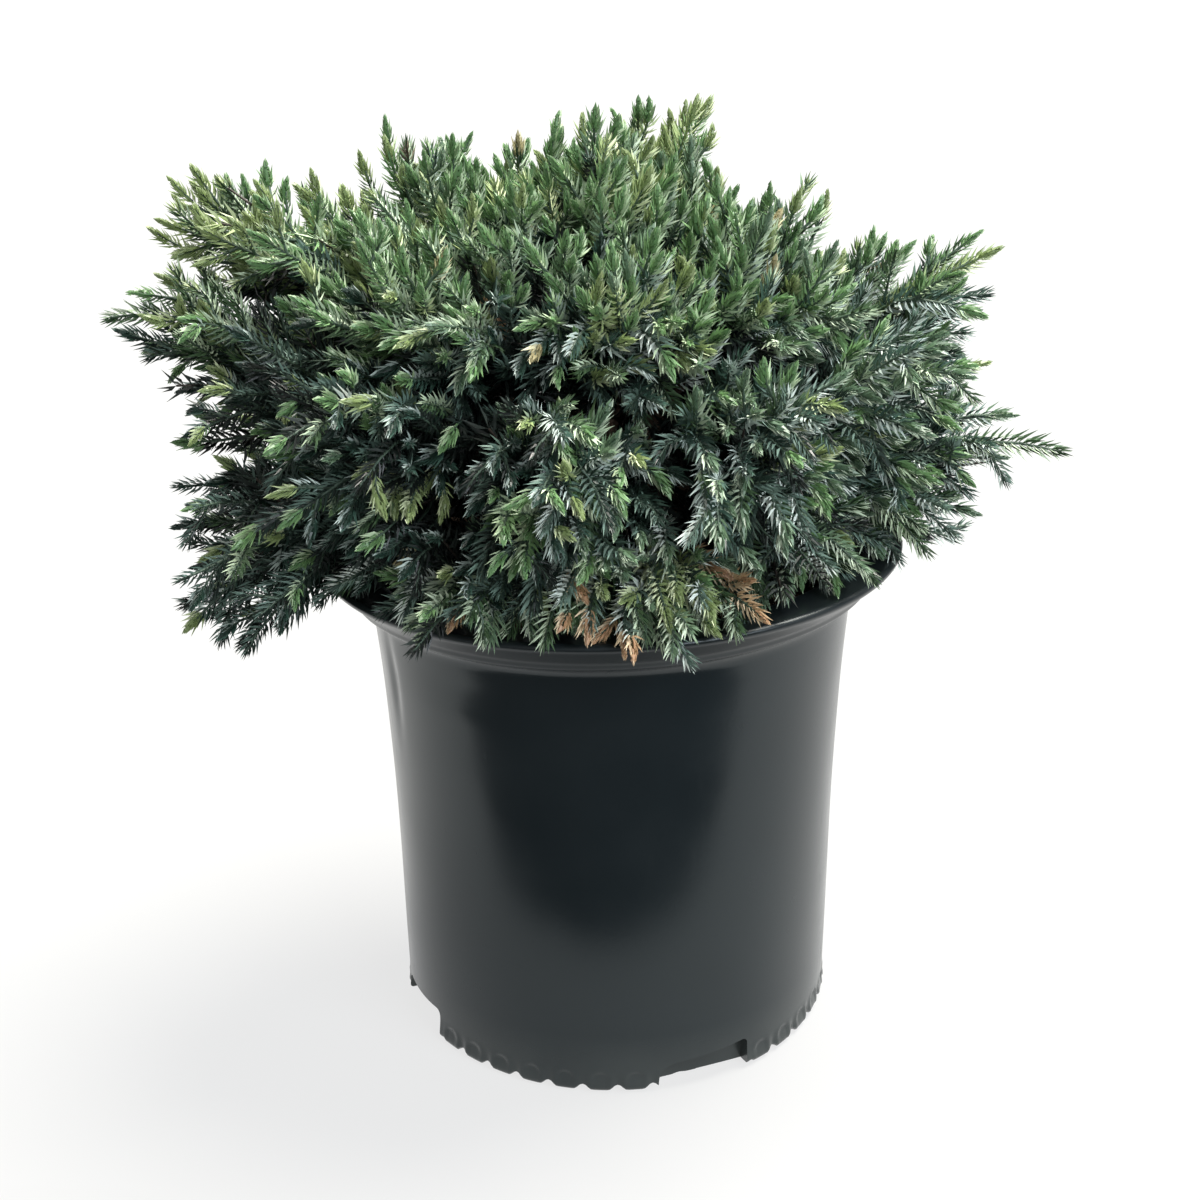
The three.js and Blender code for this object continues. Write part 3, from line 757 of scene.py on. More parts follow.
def swellAt(point):
    # the named swells and hollows round this direction
    angles = np.degrees(np.arccos(np.clip(swellLines @ np.array((point - crownCentre).normalized()), -1, 1)))
    return float((swellHeights * np.exp(-(angles / swellSpreads) ** 2)).sum())


def domeReach(mass, off):
    share = min(off / growth["halfAngle"], 1)
    return mix(mass["reach"], mass["flank"], math.sqrt(share)) - growth["domeDrop"] * share * share


def faceReach(mass, direction, reach):
    # the dome's reach with the crown's uneven face laid over it
    point = mass["fork"] + direction * reach
    return reach + swellAt(point) + growth["relief"] * noise.noise(point / growth["reliefScale"])


def laidOverRim(point):
    # sprays rest on the rim and hang beyond it, less so in front
    radius = math.hypot(point.x, point.y)
    fall = mix(growth["rimFall"], growth["frontFall"], smoothStep(0.3, 0.8, -point.y / max(radius, 1)))
    beyond = max(radius - can["lipRadius"] - growth["rimShelf"], 0)
    lowest = can["height"] + growth["rimShelf"] - fall * beyond
    return Vector((point.x, point.y, max(point.z, lowest)))


def nodding(direction):
    # level shoots arch over under their weight, most at the front, and steep ones turn up to the light
    facing = max(-direction.y, 0)
    level = 1 - smoothStep(0.25 + 0.25 * facing, 0.75 + 0.15 * facing, direction.z)
    return up * mix(growth["rise"], -growth["nod"] - growth["frontNod"] * facing, level)


def swayed(direction, most, stream):
    # the direction turned to any side by up to this many degrees
    return leaningFrom(direction, most * math.sqrt(stream.random()), 360 * stream.random())


def bentPath(start, middle, end, steps, stream):
    # a bent twig with a slight wander that grows towards its tip
    drift = Vector([stream.uniform(-1, 1) for _ in range(3)]) * growth["wander"]
    points = []
    for k in range(steps + 1):
        share = k / steps
        point = start.lerp(middle, share).lerp(middle.lerp(end, share), share)
        points.append(point + drift * math.sin(3.1 * share) * share)
    return points


def pathLengths(points):
    # the distance from each point on to the tip
    left = [0.0]
    for before, after in zip(reversed(points[:-1]), reversed(points[1:])):
        left.append(left[-1] + (after - before).length)
    return left[::-1]


def pointAt(points, left, distance):
    # the place that lies this far from the tip
    at = next((k for k in range(len(left) - 1, -1, -1) if left[k] >= distance), 0)
    beyond = min(at + 1, len(left) - 1)
    share = (left[at] - distance) / max(left[at] - left[beyond], 0.01)
    return points[at].lerp(points[beyond], min(max(share, 0), 1)), at


def tangents(points):
    last = len(points) - 1
    return [(points[min(k + 1, last)] - points[max(k - 1, 0)]).normalized() for k in range(last + 1)]


class Tips:
    # every spray tip so far, to keep new ones apart
    def __init__(self):
        self.found = np.zeros((0, 3))

    def isFree(self, point, gap):
        if not len(self.found):
            return True
        return np.linalg.norm(self.found - np.array(point), axis=1).min() > gap

    def add(self, point):
        self.found = np.vstack([self.found, np.array(point)])


allTips = Tips()


def isInPlace(mass, points):
    # a spray stays under its mass's face, out of its neighbours and off the can
    tip = points[-1]
    out = tip - mass["fork"]
    off = math.degrees(out.angle(mass["aim"]))
    if out.length > faceReach(mass, out.normalized(), domeReach(mass, off)) + growth["faceSlack"]:
        return False
    if tip.z < laidOverRim(tip).z - growth["shelfSlack"]:
        return False
    return all(isClearOfCan(p) for p in points) and spaceLeft(mass, tip) > -growth["crossing"]


def newSpray(points, bare, radius, bud, depth, stream):
    # bare: how much of the path at its root has no needles; depth: 0 at the crown's face, 1 in its heart
    left = pathLengths(points)
    bare = max(bare, left[0] - growth["leafyMost"])
    return dict(points=points, left=left, bare=bare, radius=radius, bud=bud, depth=depth,
                size=stream.uniform(0.86, 1.12))


def sideSprays(mass, spray, stream):
    # shorter sprays that leave a shoot by turns, sweep forward and nod
    left, along = spray["left"], tangents(spray["points"])
    made = []
    roll = stream.uniform(0, 360)
    distance = growth["sideFrom"]
    while distance < min(left[0] - 4, growth["sideTo"]):
        roll += growth["goldenAngle"] + stream.uniform(-growth["sideTurnJitter"], growth["sideTurnJitter"])
        start, at = pointAt(spray["points"], left, distance)
        angle = growth["sideAngle"] + stream.uniform(-growth["sideAngleJitter"], growth["sideAngleJitter"])
        out = leaningFrom(along[at], angle, roll)
        length = min(growth["sideBase"] + growth["sideShare"] * distance, growth["sideMost"])
        length *= stream.uniform(0.8, 1.15)
        nod = nodding(along[at]) * growth["sideNod"]
        forward = (out + along[at] * growth["sideSweep"] + nod).normalized()
        middle = start + out * length * 0.45
        path = bentPath(start, middle, middle + forward * length * 0.6, growth["sideSteps"], stream)
        if isInPlace(mass, path) and allTips.isFree(path[-1], growth["tipGap"]):
            allTips.add(path[-1])
            depth = smoothStep(*growth["sideShade"], distance)
            bud = stream.random()
            made.append(newSpray(path, growth["sideBare"], growth["sideRadius"], bud, depth, stream))
        distance += growth["sideStep"] * stream.uniform(0.85, 1.2)
    return made


def shootTo(mass, tip, outward, length, stream):
    # a leading shoot from its mass's stem that comes to its tip in the outward direction
    base = laidOverRim(tip - outward * length)
    rise = (base - mass["fork"]).dot(mass["aim"]) - growth["twigRise"]
    root = mass["fork"] + mass["aim"] * max(rise, mass["boughLength"] + growth["heartStart"])
    path = bentPath(root, base, tip - outward * growth["tipBack"], growth["pathSteps"], stream)
    if not all(isClearOfCan(point) for point in path):
        return None
    bud = stream.random() * 0.7  # more buds than on the side sprays
    return newSpray(path, growth["leadBare"], growth["leadRadius"], bud, 0, stream)


def leadingShoots(mass, stream):
    # the shoots that the solids show, each with its side sprays
    numbers = numberStream(1000 + 17 * mass["index"])
    shoots, tips = [], []
    for k in range(growth["tries"]):
        off = growth["halfAngle"] * math.sqrt(k / growth["tries"])
        turn = k * growth["goldenAngle"]
        numbers()  # the twist of the solid, which round twigs don't need
        wander = 0.95 + 0.07 * numbers()
        reach = mass["reach"] if k == 0 else domeReach(mass, off) * wander
        direction = leaningFrom(mass["aim"], off, turn)
        tip = laidOverRim(mass["fork"] + direction * faceReach(mass, direction, reach))
        apart = all((tip - other).length > growth["spacing"] for other in tips)
        if not apart or spaceLeft(mass, tip) < 0 or not isClearOfCan(tip):
            continue
        outward = leaningFrom(mass["aim"], min(off * growth["fan"], growth["fanMost"]), turn)
        sway = growth["sway"] * (0.4 if k == 0 else 1)
        outward = swayed((outward + nodding(outward)).normalized(), sway, stream)
        length = growth["shootLength"] + (0.35 * (mass["reach"] - mass["flank"]) if k == 0 else 0)
        spray = shootTo(mass, tip, outward, length, stream)
        if spray:
            tips.append(tip)
            shoots.append(spray)
    for azimuth, lift, reach, ownLift in standing:
        tip = crownCentre + heading(azimuth, lift) * reach
        if lineDistances(tip).argmin() == mass["index"]:
            shoots.append(shootTo(mass, tip, heading(azimuth, ownLift), growth["shootLength"], stream))
    shoots = [spray for spray in shoots if spray]
    for spray in shoots:
        allTips.add(spray["points"][-1])
    return shoots + [side for spray in shoots for side in sideSprays(mass, spray, stream)]


def fillingSprays(mass, stream):
    # short sprays between the others, at the face and in shaded layers under it
    made = []
    for share, gap, depth in growth["fillLayers"]:
        for k in range(growth["fillTries"]):
            off = (growth["halfAngle"] + growth["fillSpread"]) * math.sqrt((k + 0.5) / growth["fillTries"])
            turn = k * growth["goldenAngle"] + growth["fillTurn"]
            out = leaningFrom(mass["aim"], off, turn)
            reach = faceReach(mass, out, domeReach(mass, off)) * share * stream.uniform(0.94, 1.0)
            reach *= mix(1, growth["sideFill"], smoothStep(60, 120, abs(out.x) * reach))
            tip = laidOverRim(mass["fork"] + out * (reach - growth["tipBack"]))
            if spaceLeft(mass, tip) < 0 or not allTips.isFree(tip, gap):
                continue
            length = stream.uniform(*growth["fillLengths"])
            lean = leaningFrom(mass["aim"], min(off * growth["fan"], growth["fanMost"]), turn)
            lean = swayed((lean + nodding(lean)).normalized(), growth["fillSway"], stream)
            base = tip - lean * length
            rise = (base - mass["fork"]).dot(mass["aim"]) - growth["fillRise"]
            root = mass["fork"] + mass["aim"] * max(rise, mass["boughLength"] + growth["fillHeart"])
            path = bentPath(root, base, tip, growth["pathSteps"], stream)
            if not all(isClearOfCan(point) for point in path):
                continue
            allTips.add(tip)
            bare = max(pathLengths(path)[0] - length * 1.1, growth["fillBare"])
            made.append(newSpray(path, bare, growth["fillRadius"], stream.random(), depth, stream))
    return made


def stemPath(mass):
    # the stem runs on from its bough's tip, and the leading shoot takes over from it
    start, end = mass["boughLength"] - 1, mass["reach"] - 0.8 * growth["shootLength"]
    steps = growth["pathSteps"] - 2
    points = [mass["fork"] + mass["aim"] * mix(start, end, k / steps) for k in range(steps + 1)]
    return dict(points=points, left=pathLengths(points), radius=growth["stemRadius"], depth=1)


def growFoliage():
    stream = random.Random(7)
    sprays = {mass["name"]: leadingShoots(mass, stream) for mass in crown}
    for mass in crown:
        sprays[mass["name"]].extend(fillingSprays(mass, stream))
    print("sprays:", sum(len(found) for found in sprays.values()))
    return sprays


# needles and twigs: each tint has a keel, a green margin and the pale bloom band of the upper face
# the shade tint is painted shade for sprays inside the crown, and deep is both a tone of its own and painted
# shade
tints = dict(
    shade=("#090e0c", "#131b17", "#222c27"), deep=("#101a16", "#203129", "#5a7166"),
    blue=("#182b23", "#3b564a", "#aebdb5"), silver=("#2e3f37", "#637a6e", "#c8d3ca"),
    green=("#1f321d", "#476041", "#abbda0"), sage=("#4a604b", "#6c8568", "#bac9b1"),
    fresh=("#4f6e46", "#749665", "#b2c5a1"), lime=("#68784c", "#8ea06d", "#c4cfa6"),
    straw=("#857d5c", "#a8a078", "#d6d2b0"), tan=("#9c7a5c", "#b69a76", "#dac6a4"),
    brown=("#31271f", "#4d4135", "#6f6150"),
)
tintOrder = list(tints)
# tufts of another colour: tint, azimuth, lift, spread, and how much of each spray has it
tufts = (
    ("tan", 294, -8, 5, 60), ("lime", 282, -9, 6, 60), ("tan", 242, -12, 3, 9), ("tan", 271, -12, 2.6, 9),
    ("tan", 266, -13, 2.5, 12), ("tan", 265, -4, 2.6, 20), ("tan", 243, -4, 2.2, 12),
    ("lime", 235, 8, 4.5, 60), ("lime", 259, -11, 3, 9), ("lime", 308, 18, 6, 22), ("lime", 280, 24, 3, 12),
    ("fresh", 262, 22, 4, 14), ("fresh", 257, 5, 6, 30), ("straw", 254, 35, 2.5, 8),
    ("straw", 282, 35, 2.5, 8), ("lime", 269, 35, 3, 10), ("straw", 303, 33, 3, 12),
    ("lime", 242, 17, 2.5, 10), ("lime", 178, 30, 14, 14), ("lime", 165, 45, 12, 12),
    ("brown", 160, 55, 3, 30), ("lime", 60, 66, 14, 14), ("lime", 30, 45, 10, 12), ("tan", 239, 46, 2, 5),
)
# where a colour begins and where it is full
zones = dict(
    left=(20, -150), dimLeft=(10, -40),    # along X
    front=(-50, -95), dimFront=(20, -40),  # along Y
    rim=(240, 208), overRim=(208, 226), hollowFrom=(212, 230), greenFrom=(225, 260), dimUnder=(315, 285),
    top=(270, 350), crest=(300, 350), buds=(290, 330),  # up Z
    hollow=(-7, -16),                      # in swell
)
needle = dict(
    length=7.6, width=0.96, widest=0.4, bow=0.5, curl=0.9, whorlSpacing=1.35, innerSpacing=3, innerSize=1.45,
    innerClosing=0.2, openAngle=58, closedAngle=10, angleJitter=9, turnJitter=16, sizeJitter=0.17, seed=11,
    rootSize=0.75, rootLength=7, tipSize=0.86, tipFrom=14, closing=(0.05, 0.5), closeFrom=20, rimOpening=0.12,
    # the tip's last whorls, a bud or a star: its length, and the closing and size at its tip and its foot
    budded=0.6, budLength=8, budClosing=(0.8, 0.5), budSize=(0.4, 0.8), budBreadth=1.25, budSpacing=1.05,
    starLength=4, starClosing=(0.75, 0.35), starSize=(0.55, 0.85), tipSteps=4, tipOverlap=0.7,
)
allOver = 99  # a tip's length that takes in the whole row
vectorColumns = ("heading", "needleScale")
needleColumns = (*vectorColumns, "whorlSpacing", "closing", "toTip", "tint", "tipTint", "tipLength")


def zone(name, value):
    return smoothStep(*zones[name], value)


def tintsFor(tip, depth, stream):
    # the tints of a spray and of its tip, and how long the tip is: fresh green gathers at the left and the
    # top, tan low at the front, blue in between, and painted shade darkens the hollows in front, the low
    # left, the crown's heart and a patch at the front left
    # painted shade: sprays deep in the crown take the darkest tint
    if depth > 0.55:
        return "shade", "shade", 0
    left, high, low, front = zone("left", tip.x), zone("top", tip.z), zone("rim", tip.z), zone("front", tip.y)
    greenness = 0.2 + 0.5 * left * zone("greenFrom", tip.z) + 0.6 * high + 0.55 * noise.noise(tip / 42)
    bluish = ["blue", "silver" if tip.x > 40 else "blue", "blue", "deep", "silver"]
    body = "green" if stream.random() < greenness else stream.choice(bluish)
    if stream.random() < 0.6 * zone("crest", tip.z):
        body = stream.choice(["sage", "fresh", "lime"])
    # painted shade: sprays in the hollows in front, low at the left, deeper in the crown and in a patch at
    # the front left take dark tints
    hollow = front * zone("hollow", swellAt(tip)) * zone("hollowFrom", tip.z)
    dim = 0.85 * zone("dimLeft", tip.x) * zone("dimFront", tip.y) * zone("dimUnder", tip.z)
    dark = stream.random() < max(hollow, 0.9 * left * low, 1.5 * depth, dim * zone("overRim", tip.z))
    if dark:
        body = stream.choice(["deep", "deep", "shade"])
    elif low * front > 0.4:
        body = stream.choice(["silver", "green", "green", "sage"])
    direction = (tip - crownCentre).normalized()
    for name, azimuth, lift, spread, share in tufts:
        if math.degrees(direction.angle(heading(azimuth, lift))) < spread * stream.uniform(0.6, 1.1):
            return body, name, share
    draw = stream.random()
    dead = 0.02 * low * front
    straw = dead + 0.01 + 0.04 * left * high
    lime = straw + 0.05 + 0.2 * max(left, 0.6 * high, low * front)
    fresh = lime + 0.3 + 0.4 * greenness
    # painted shade: most darkened sprays keep a blue tip instead of a paler one
    if dark and stream.random() < 0.6:
        return body, "blue", 9
    chances = (("tan", dead), ("straw", straw), ("lime", lime), ("fresh", fresh))
    tint = next((name for name, chance in chances if draw <= chance), "sage")
    return body, tint, stream.uniform(7, 12)


def needleShape():
    # an awl that bows out and curls back in, pointing up Z: an upper face that looks at the twig,
    # folded along its midrib, and a keel behind
    half, level = needle["width"] / 2, needle["widest"] * needle["length"]
    points = [(0, 0, 0), (-half, needle["bow"], level), (half, needle["bow"], level),
              (0, -needle["curl"], needle["length"])]
    mesh = newMesh("needle", points, [], [(0, 1, 2), (1, 3, 2), (0, 3, 1), (0, 2, 3)])
    part = mesh.attributes.new("part", "FLOAT", "FACE")
    part.data.foreach_set("value", [0.0, 0.0, 1.0, 2.0])  # keel, green margin, bloom
    return newObject("needle", mesh)


def needleMaterials():
    # living juniper needles: a waxy cuticle, matt where the upper face carries its pale bloom
    parts = dict(keel=0.38, margin=0.42, bloom=0.55)
    return {name: [newMaterial("needle_" + name + "_" + part, colour, roughness, 1.45)[0]
                   for (part, roughness), colour in zip(parts.items(), colours)]
            for name, colours in tints.items()}


def needleTree(materials):
    # whorls of three needles along every path, each whorl turned between the last
    tree, given, output = newTree("needlesAlongTwigs", {
        "Needle": "Object", "Open Angle": "Float", "Closed Angle": "Float", "Angle Jitter": "Float",
        "Turn Jitter": "Float", "Size Jitter": "Float", "Seed": "Int"})
    add = partial(addNode, tree)
    field = {name: add("GeometryNodeInputNamedAttribute", {"Name": name},
                       data_type="FLOAT_VECTOR" if name in vectorColumns else "FLOAT")
             for name in (*needleColumns, "dealt", "part")}

    def jittered(value, jitter, offset):
        # the value with a draw of its own for every whorl laid over it
        seed = add("ShaderNodeMath", {0: given["Seed"], 1: float(offset)}, operation="ADD")
        draw = add("FunctionNodeRandomValue", {2: -1.0, 3: 1.0, "Seed": seed}, data_type="FLOAT")
        share = add("ShaderNodeMath", {0: draw.outputs[1], 1: given[jitter]}, operation="MULTIPLY")
        return add("ShaderNodeMath", {0: value, 1: share}, operation="ADD")

    lines = add("GeometryNodeMeshToCurve", {0: given["Geometry"]})
    spaced = add("GeometryNodeResampleCurve", {"Curve": lines, "Length": field["whorlSpacing"]},
                 mode="LENGTH")
    upright = add("FunctionNodeAlignRotationToVector", {"Vector": field["heading"]}, axis="Z")
    isTip = add("FunctionNodeCompare", {0: field["toTip"], 1: field["tipLength"]}, operation="LESS_THAN")
    tint = add("GeometryNodeSwitch", {0: isTip, 1: field["tint"], 2: field["tipTint"]}, input_type="FLOAT")
    dealt = add("GeometryNodeStoreNamedAttribute", {
        "Geometry": spaced, "Name": "dealt", "Value": tint}, data_type="FLOAT", domain="POINT")
    opening = add("ShaderNodeMapRange", {
        "Value": field["closing"], "To Min": given["Open Angle"], "To Max": given["Closed Angle"]})
    shape = add("GeometryNodeObjectInfo", {"Object": given["Needle"]})
    row = add("GeometryNodeInputIndex")
    joined = add("GeometryNodeJoinGeometry")
    for k in range(3):
        rowTurn = add("ShaderNodeMath", {
            0: row, 1: math.radians(60), 2: math.radians(120 * k)}, operation="MULTIPLY_ADD")
        turn = jittered(rowTurn, "Turn Jitter", 10 * k)
        lean = jittered(opening, "Angle Jitter", 10 * k + 3)
        bigger = jittered(1.0, "Size Jitter", 10 * k + 6)
        tipped = add("ShaderNodeMath", {0: lean, 1: -1.0}, operation="MULTIPLY")
        facing = upright
        for angle, axis in ((turn, (0, 0, 1)), (tipped, (1, 0, 0))):
            step = add("FunctionNodeAxisAngleToRotation", {"Axis": axis, "Angle": angle})
            facing = add("FunctionNodeRotateRotation", {0: facing, 1: step}, rotation_space="LOCAL")
        size = add("ShaderNodeVectorMath", {0: field["needleScale"], "Scale": bigger}, operation="SCALE")
        whorl = add("GeometryNodeInstanceOnPoints", {
            "Points": dealt, "Instance": shape.outputs["Geometry"], "Rotation": facing, "Scale": size})
        tree.links.new(whorl.outputs[0], joined.inputs[0])
    flow = add("GeometryNodeRealizeInstances", {0: joined})
    for index, name in enumerate(tintOrder):
        isTint = add("FunctionNodeCompare", {0: field["dealt"], 1: float(index), "Epsilon": 0.2},
                     operation="EQUAL")
        for part, material in enumerate(materials[name]):
            isPart = add("FunctionNodeCompare", {0: field["part"], 1: float(part), "Epsilon": 0.2},
                         operation="EQUAL")
            both = add("FunctionNodeBooleanMath", {0: isTint, 1: isPart}, operation="AND")
            flow = add("GeometryNodeSetMaterial", {
                "Geometry": flow, "Selection": both, "Material": material})
    tree.links.new(flow.outputs[0], output)
    return tree


def pathMesh(name, paths, columns):
    # every path as a run of edges whose points carry the named values
    points, edges = [], []
    for path in paths:
        first = len(points)
        points.extend(path["points"])
        edges.extend((first + k, first + k + 1) for k in range(len(path["points"]) - 1))
    mesh = newMesh(name, points, edges, [])
    for column in columns:
        values = np.array([v for path in paths for v in path[column]], np.float32)
        kind, field = ("FLOAT", "value") if values.ndim == 1 else ("FLOAT_VECTOR", "vector")
        mesh.attributes.new(column, kind, "POINT").data.foreach_set(field, values.ravel())
    return mesh


def evenly(size):
    return (size, size, size)


def leafyPaths(spray, stream):
    # the part of a spray that bears needles and the bud or star at its tip, with what the whorls need to know
    points, left = spray["points"], spray["left"]
    start = next((k for k in range(len(left)) if left[0] - left[k] >= spray["bare"]), len(left) - 3)
    points, left = points[start:], left[start:]
    body, tipTint, tipLength = tintsFor(points[-1], spray["depth"], stream)
    whole = spray["size"] * mix(1, needle["innerSize"], spray["depth"])
    low, high = zone("rim", points[-1].z), zone("buds", points[-1].z)
    # fewer buds at the rim and more at the top
    budded = spray["bud"] < needle["budded"] * mix(1, 0.4, low) + 0.2 * high or tipTint in ("tan", "straw")

    def row(points, left, closing, scales, spacing, tipLength=tipLength):
        count = len(points)
        return dict(points=points, heading=[tuple(t) for t in tangents(points)], closing=closing,
                    needleScale=scales, whorlSpacing=[spacing * mm] * count, toTip=left,
                    tint=[float(tintOrder.index(body))] * count,
                    tipTint=[float(tintOrder.index(tipTint))] * count, tipLength=[tipLength] * count)

    if spray["depth"] > 0.5:
        closing, scales = [needle["innerClosing"]] * len(left), [evenly(whole)] * len(left)
        return [row(points, left, closing, scales, needle["innerSpacing"])]
    length = needle["budLength"] if budded else needle["starLength"]
    cut = needle["tipOverlap"] * length
    kept = [k for k, d in enumerate(left) if d > cut + 0.5]
    points = [points[k] for k in kept] + [pointAt(points, left, cut)[0]]
    left = [left[k] for k in kept] + [cut]
    loose, close = (closing - needle["rimOpening"] * low for closing in needle["closing"])
    closings = [mix(loose, close, smoothStep(needle["closeFrom"], cut, d)) for d in left]
    scales = [evenly(whole * mix(1, needle["tipSize"], smoothStep(needle["tipFrom"], cut, d))
                     * mix(needle["rootSize"], 1, smoothStep(0, needle["rootLength"], left[0] - d)))
              for d in left]
    made = [row(points, left, closings, scales, needle["whorlSpacing"], tipLength if budded else 0)]
    steps = [length * (1 - k / needle["tipSteps"]) for k in range(needle["tipSteps"] + 1)]
    stem = [pointAt(spray["points"], spray["left"], d)[0] for d in steps]
    if budded:  # short broad needles pressed together
        closings = [mix(*needle["budClosing"], d / length) for d in steps]
        scales = [(whole * needle["budBreadth"], whole, whole * mix(*needle["budSize"], d / length))
                  for d in steps]
    else:       # the last whorls spread as a star
        closings = [mix(*needle["starClosing"], d / length) for d in steps]
        scales = [evenly(whole * mix(*needle["starSize"], d / length)) for d in steps]
    made.append(row(stem, steps, closings, scales, needle["budSpacing"],
                    allOver if budded or high > 0.5 else 0))
    return made


# the twigs: how thick they are at the tip and how fast they thicken
twig = dict(sides=4, tipRadius=0.45, taper=1.5, everyPoint=3)


def twigTree(woody, green):
    # round twigs along every path, as thick as each point says, green where they are young
    tree, given, output = newTree("twigsAlongPaths", {"Sides": "Int", "Green Length": "Float"})
    add = partial(addNode, tree)
    thickness, toTip = (add("GeometryNodeInputNamedAttribute", {"Name": name}, data_type="FLOAT")
                        for name in ("thickness", "toTip"))
    lines = add("GeometryNodeMeshToCurve", {0: given["Geometry"]})
    ring = add("GeometryNodeCurvePrimitiveCircle", {"Resolution": given["Sides"], "Radius": 1.0})
    tube = add("GeometryNodeCurveToMesh", {
        "Curve": lines, "Profile Curve": ring, "Scale": thickness, "Fill Caps": True})
    smooth = add("GeometryNodeSetShadeSmooth", {"Geometry": tube})
    real = add("GeometryNodeRealizeInstances", {0: smooth})
    barked = add("GeometryNodeSetMaterial", {"Geometry": real, "Material": woody})
    isYoung = add("FunctionNodeCompare", {0: toTip, 1: given["Green Length"]}, operation="LESS_THAN")
    done = add("GeometryNodeSetMaterial", {
        "Geometry": barked, "Selection": isYoung, "Material": green})
    tree.links.new(done.outputs[0], output)
    return tree


def youngBark():
    # two- and three-year twigs: smooth rusty brown skin with grey patches
    return mottled(newMaterial("youngBark", "#302a24", 0.7), 12, 3, ("#241f1b", "#433b32"))


def clothedShoot():
    # this year's shoots: hidden under the green bases of their needles, so they are as green as those
    return mottled(newMaterial("clothedShoot", "#3a4c40", 0.55, 1.45), 16, 2, ("#2b3c33", "#4d604f"))


def buildNeedles(sprays):
    stream = random.Random(19)
    shape = needleShape()
    tree = needleTree(needleMaterials())
    values = {name + " Angle": math.radians(needle[name.lower() + "Angle"]) for name in ("Open", "Closed")}
    values |= {name + " Jitter": math.radians(needle[name.lower() + "Jitter"]) for name in ("Angle", "Turn")}
    values |= {"Needle": shape, "Size Jitter": needle["sizeJitter"]}
    total = 0
    for mass in crown:
        name = "needles_" + mass["name"]
        leafy = [path for spray in sprays[mass["name"]] for path in leafyPaths(spray, stream)]
        piece = throughTree(name, pathMesh(name, leafy, needleColumns), tree,
                            {**values, "Seed": needle["seed"] + mass["index"]})
        finishPiece(piece, "needles", "foliage_" + mass["name"])
        total += triangleCount(piece)
    bpy.data.objects.remove(shape)
    print("needles:", total, "triangles")


def twigPath(spray):
    # every third point from the tip back, and always the root; shaded twigs stay brown to their tips
    every = twig["everyPoint"]
    points, left = spray["points"][::-every][::-1], spray["left"][::-every][::-1]
    points[0], left[0] = spray["points"][0], spray["left"][0]
    thickness = [mm * mix(twig["tipRadius"], spray["radius"], (d / left[0]) ** twig["taper"]) for d in left]
    shaded = 2 * growth["greenLength"] * (spray["depth"] > 0.5)
    return dict(points=points, thickness=thickness, toTip=[d + shaded for d in left])


def buildTwigs(sprays):
    tree = twigTree(youngBark(), clothedShoot())
    for tier in forkHeights:
        name = "twigs_" + tier
        members = [mass for mass in crown if mass["tier"] == tier]
        paths = [twigPath(spray) for mass in members for spray in [stemPath(mass), *sprays[mass["name"]]]]
        piece = throughTree(name, pathMesh(name, paths, ["thickness", "toTip"]), tree, {
            "Sides": twig["sides"], "Green Length": growth["greenLength"]})
        finishPiece(piece, "bark")
        print("twigs", tier + ":", triangleCount(piece), "triangles")


# the studio, in metres but for the sheet
studio = dict(
    floorRadius=9, floorDrop=0.0004, floorSides=96, lookedAt=(0, 0, 0.22),
    # the front edge of the pale sheet, beyond which the room is dark
    sheetEdge=((-1200, 60), (-500, -130), (-190, -143), (-82, -182), (36, -192), (336, -194), (1200, -220)),
    roomEnd=-2200, roomHalf=1200,
    # kind, place, angle or size, power and colour
    lights=dict(overhead=("SUN", (0.4, 0.3, 1.45), math.radians(35), 11, "#fffaf2"),
                window=("AREA", (1.0, -1.2, 1.3), 1.0, 34, "#eef5ff")),
)
camera = dict(place=(0, -745.1, 489.3), pitch=22.9, yaw=-0.36, roll=0.88, lens=60, sensor=36)


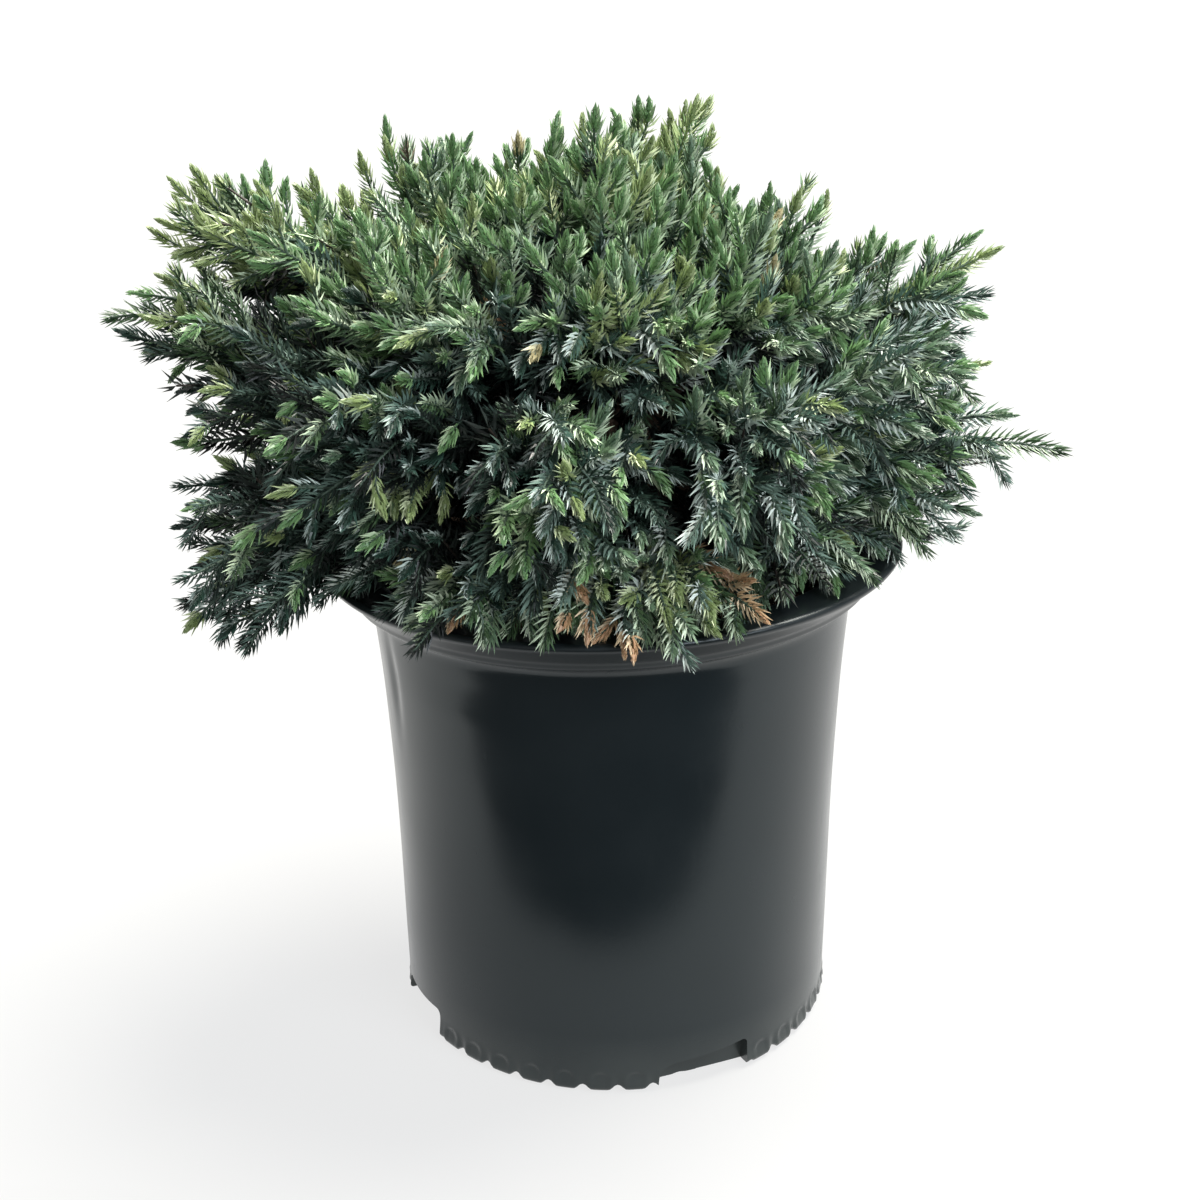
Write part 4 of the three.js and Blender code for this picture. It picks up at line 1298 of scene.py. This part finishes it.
def buildStudio():
    # a pale floor, a broad soft light overhead, and a dark card that only reflections see, as painted shade
    # for the unlit room beyond the sheet
    floorMaterial, _, shader = newMaterial("paleFloor", "#464746", 0.9)
    shader.inputs["Emission Color"].default_value = (1, 1, 1, 1)
    shader.inputs["Emission Strength"].default_value = 0.75
    shape = bmesh.new()
    bmesh.ops.create_circle(shape, cap_ends=True, segments=studio["floorSides"], radius=studio["floorRadius"])
    bmesh.ops.translate(shape, verts=shape.verts, vec=(0, 0, -studio["floorDrop"]))
    floor = newObject("floor", meshFrom("floor", shape))
    floor.data.materials.append(floorMaterial)
    half, end = studio["roomHalf"], studio["roomEnd"]
    outline = [(x, y, 1) for x, y in (*studio["sheetEdge"], (half, end), (-half, end))]
    card = newObject("card", newMesh("card", outline, [], [list(range(len(outline)))]))
    card.data.materials.append(newMaterial("darkCard", "#0a0b0c", 0.9)[0])
    card.visible_camera = card.visible_shadow = card.visible_diffuse = False

    world = bpy.data.worlds.new("softRoom")
    bpy.context.scene.world = world
    world.use_nodes = True
    world.node_tree.nodes["Background"].inputs["Color"].default_value = linear("#f4f7fa")
    world.node_tree.nodes["Background"].inputs["Strength"].default_value = 0.5
    for name, (kind, place, size, power, colour) in studio["lights"].items():
        light = bpy.data.lights.new(name, kind)
        setattr(light, "angle" if kind == "SUN" else "size", size)
        light.energy = power
        light.color = linear(colour)[:3]
        lamp = newObject(name, light)
        lamp.location = place
        lamp.rotation_mode = "QUATERNION"
        lamp.rotation_quaternion = (Vector(place) - Vector(studio["lookedAt"])).to_track_quat("Z", "Y")
    bpy.context.scene.view_settings.view_transform = "Standard"
    print("studio:", len(studio["lights"]), "lights")


def buildCamera():
    pitch, yaw, roll = (math.radians(camera[name]) for name in ("pitch", "yaw", "roll"))
    forward = Vector((math.sin(yaw) * math.cos(pitch), math.cos(yaw) * math.cos(pitch), -math.sin(pitch)))
    lens = bpy.data.cameras.new("camera")
    lens.lens = camera["lens"]
    lens.sensor_width = camera["sensor"]
    made = newObject("camera", lens)
    made.location = Vector(camera["place"]) * mm
    made.rotation_mode = "QUATERNION"
    made.rotation_quaternion = Quaternion(forward, roll) @ forward.to_track_quat("-Z", "Y")
    bpy.context.scene.camera = made
    print("camera:", camera["lens"], "mm lens")


buildCan()
buildMix()
buildWood()
sprays = growFoliage()
buildNeedles(sprays)
buildTwigs(sprays)
buildStudio()
buildCamera()
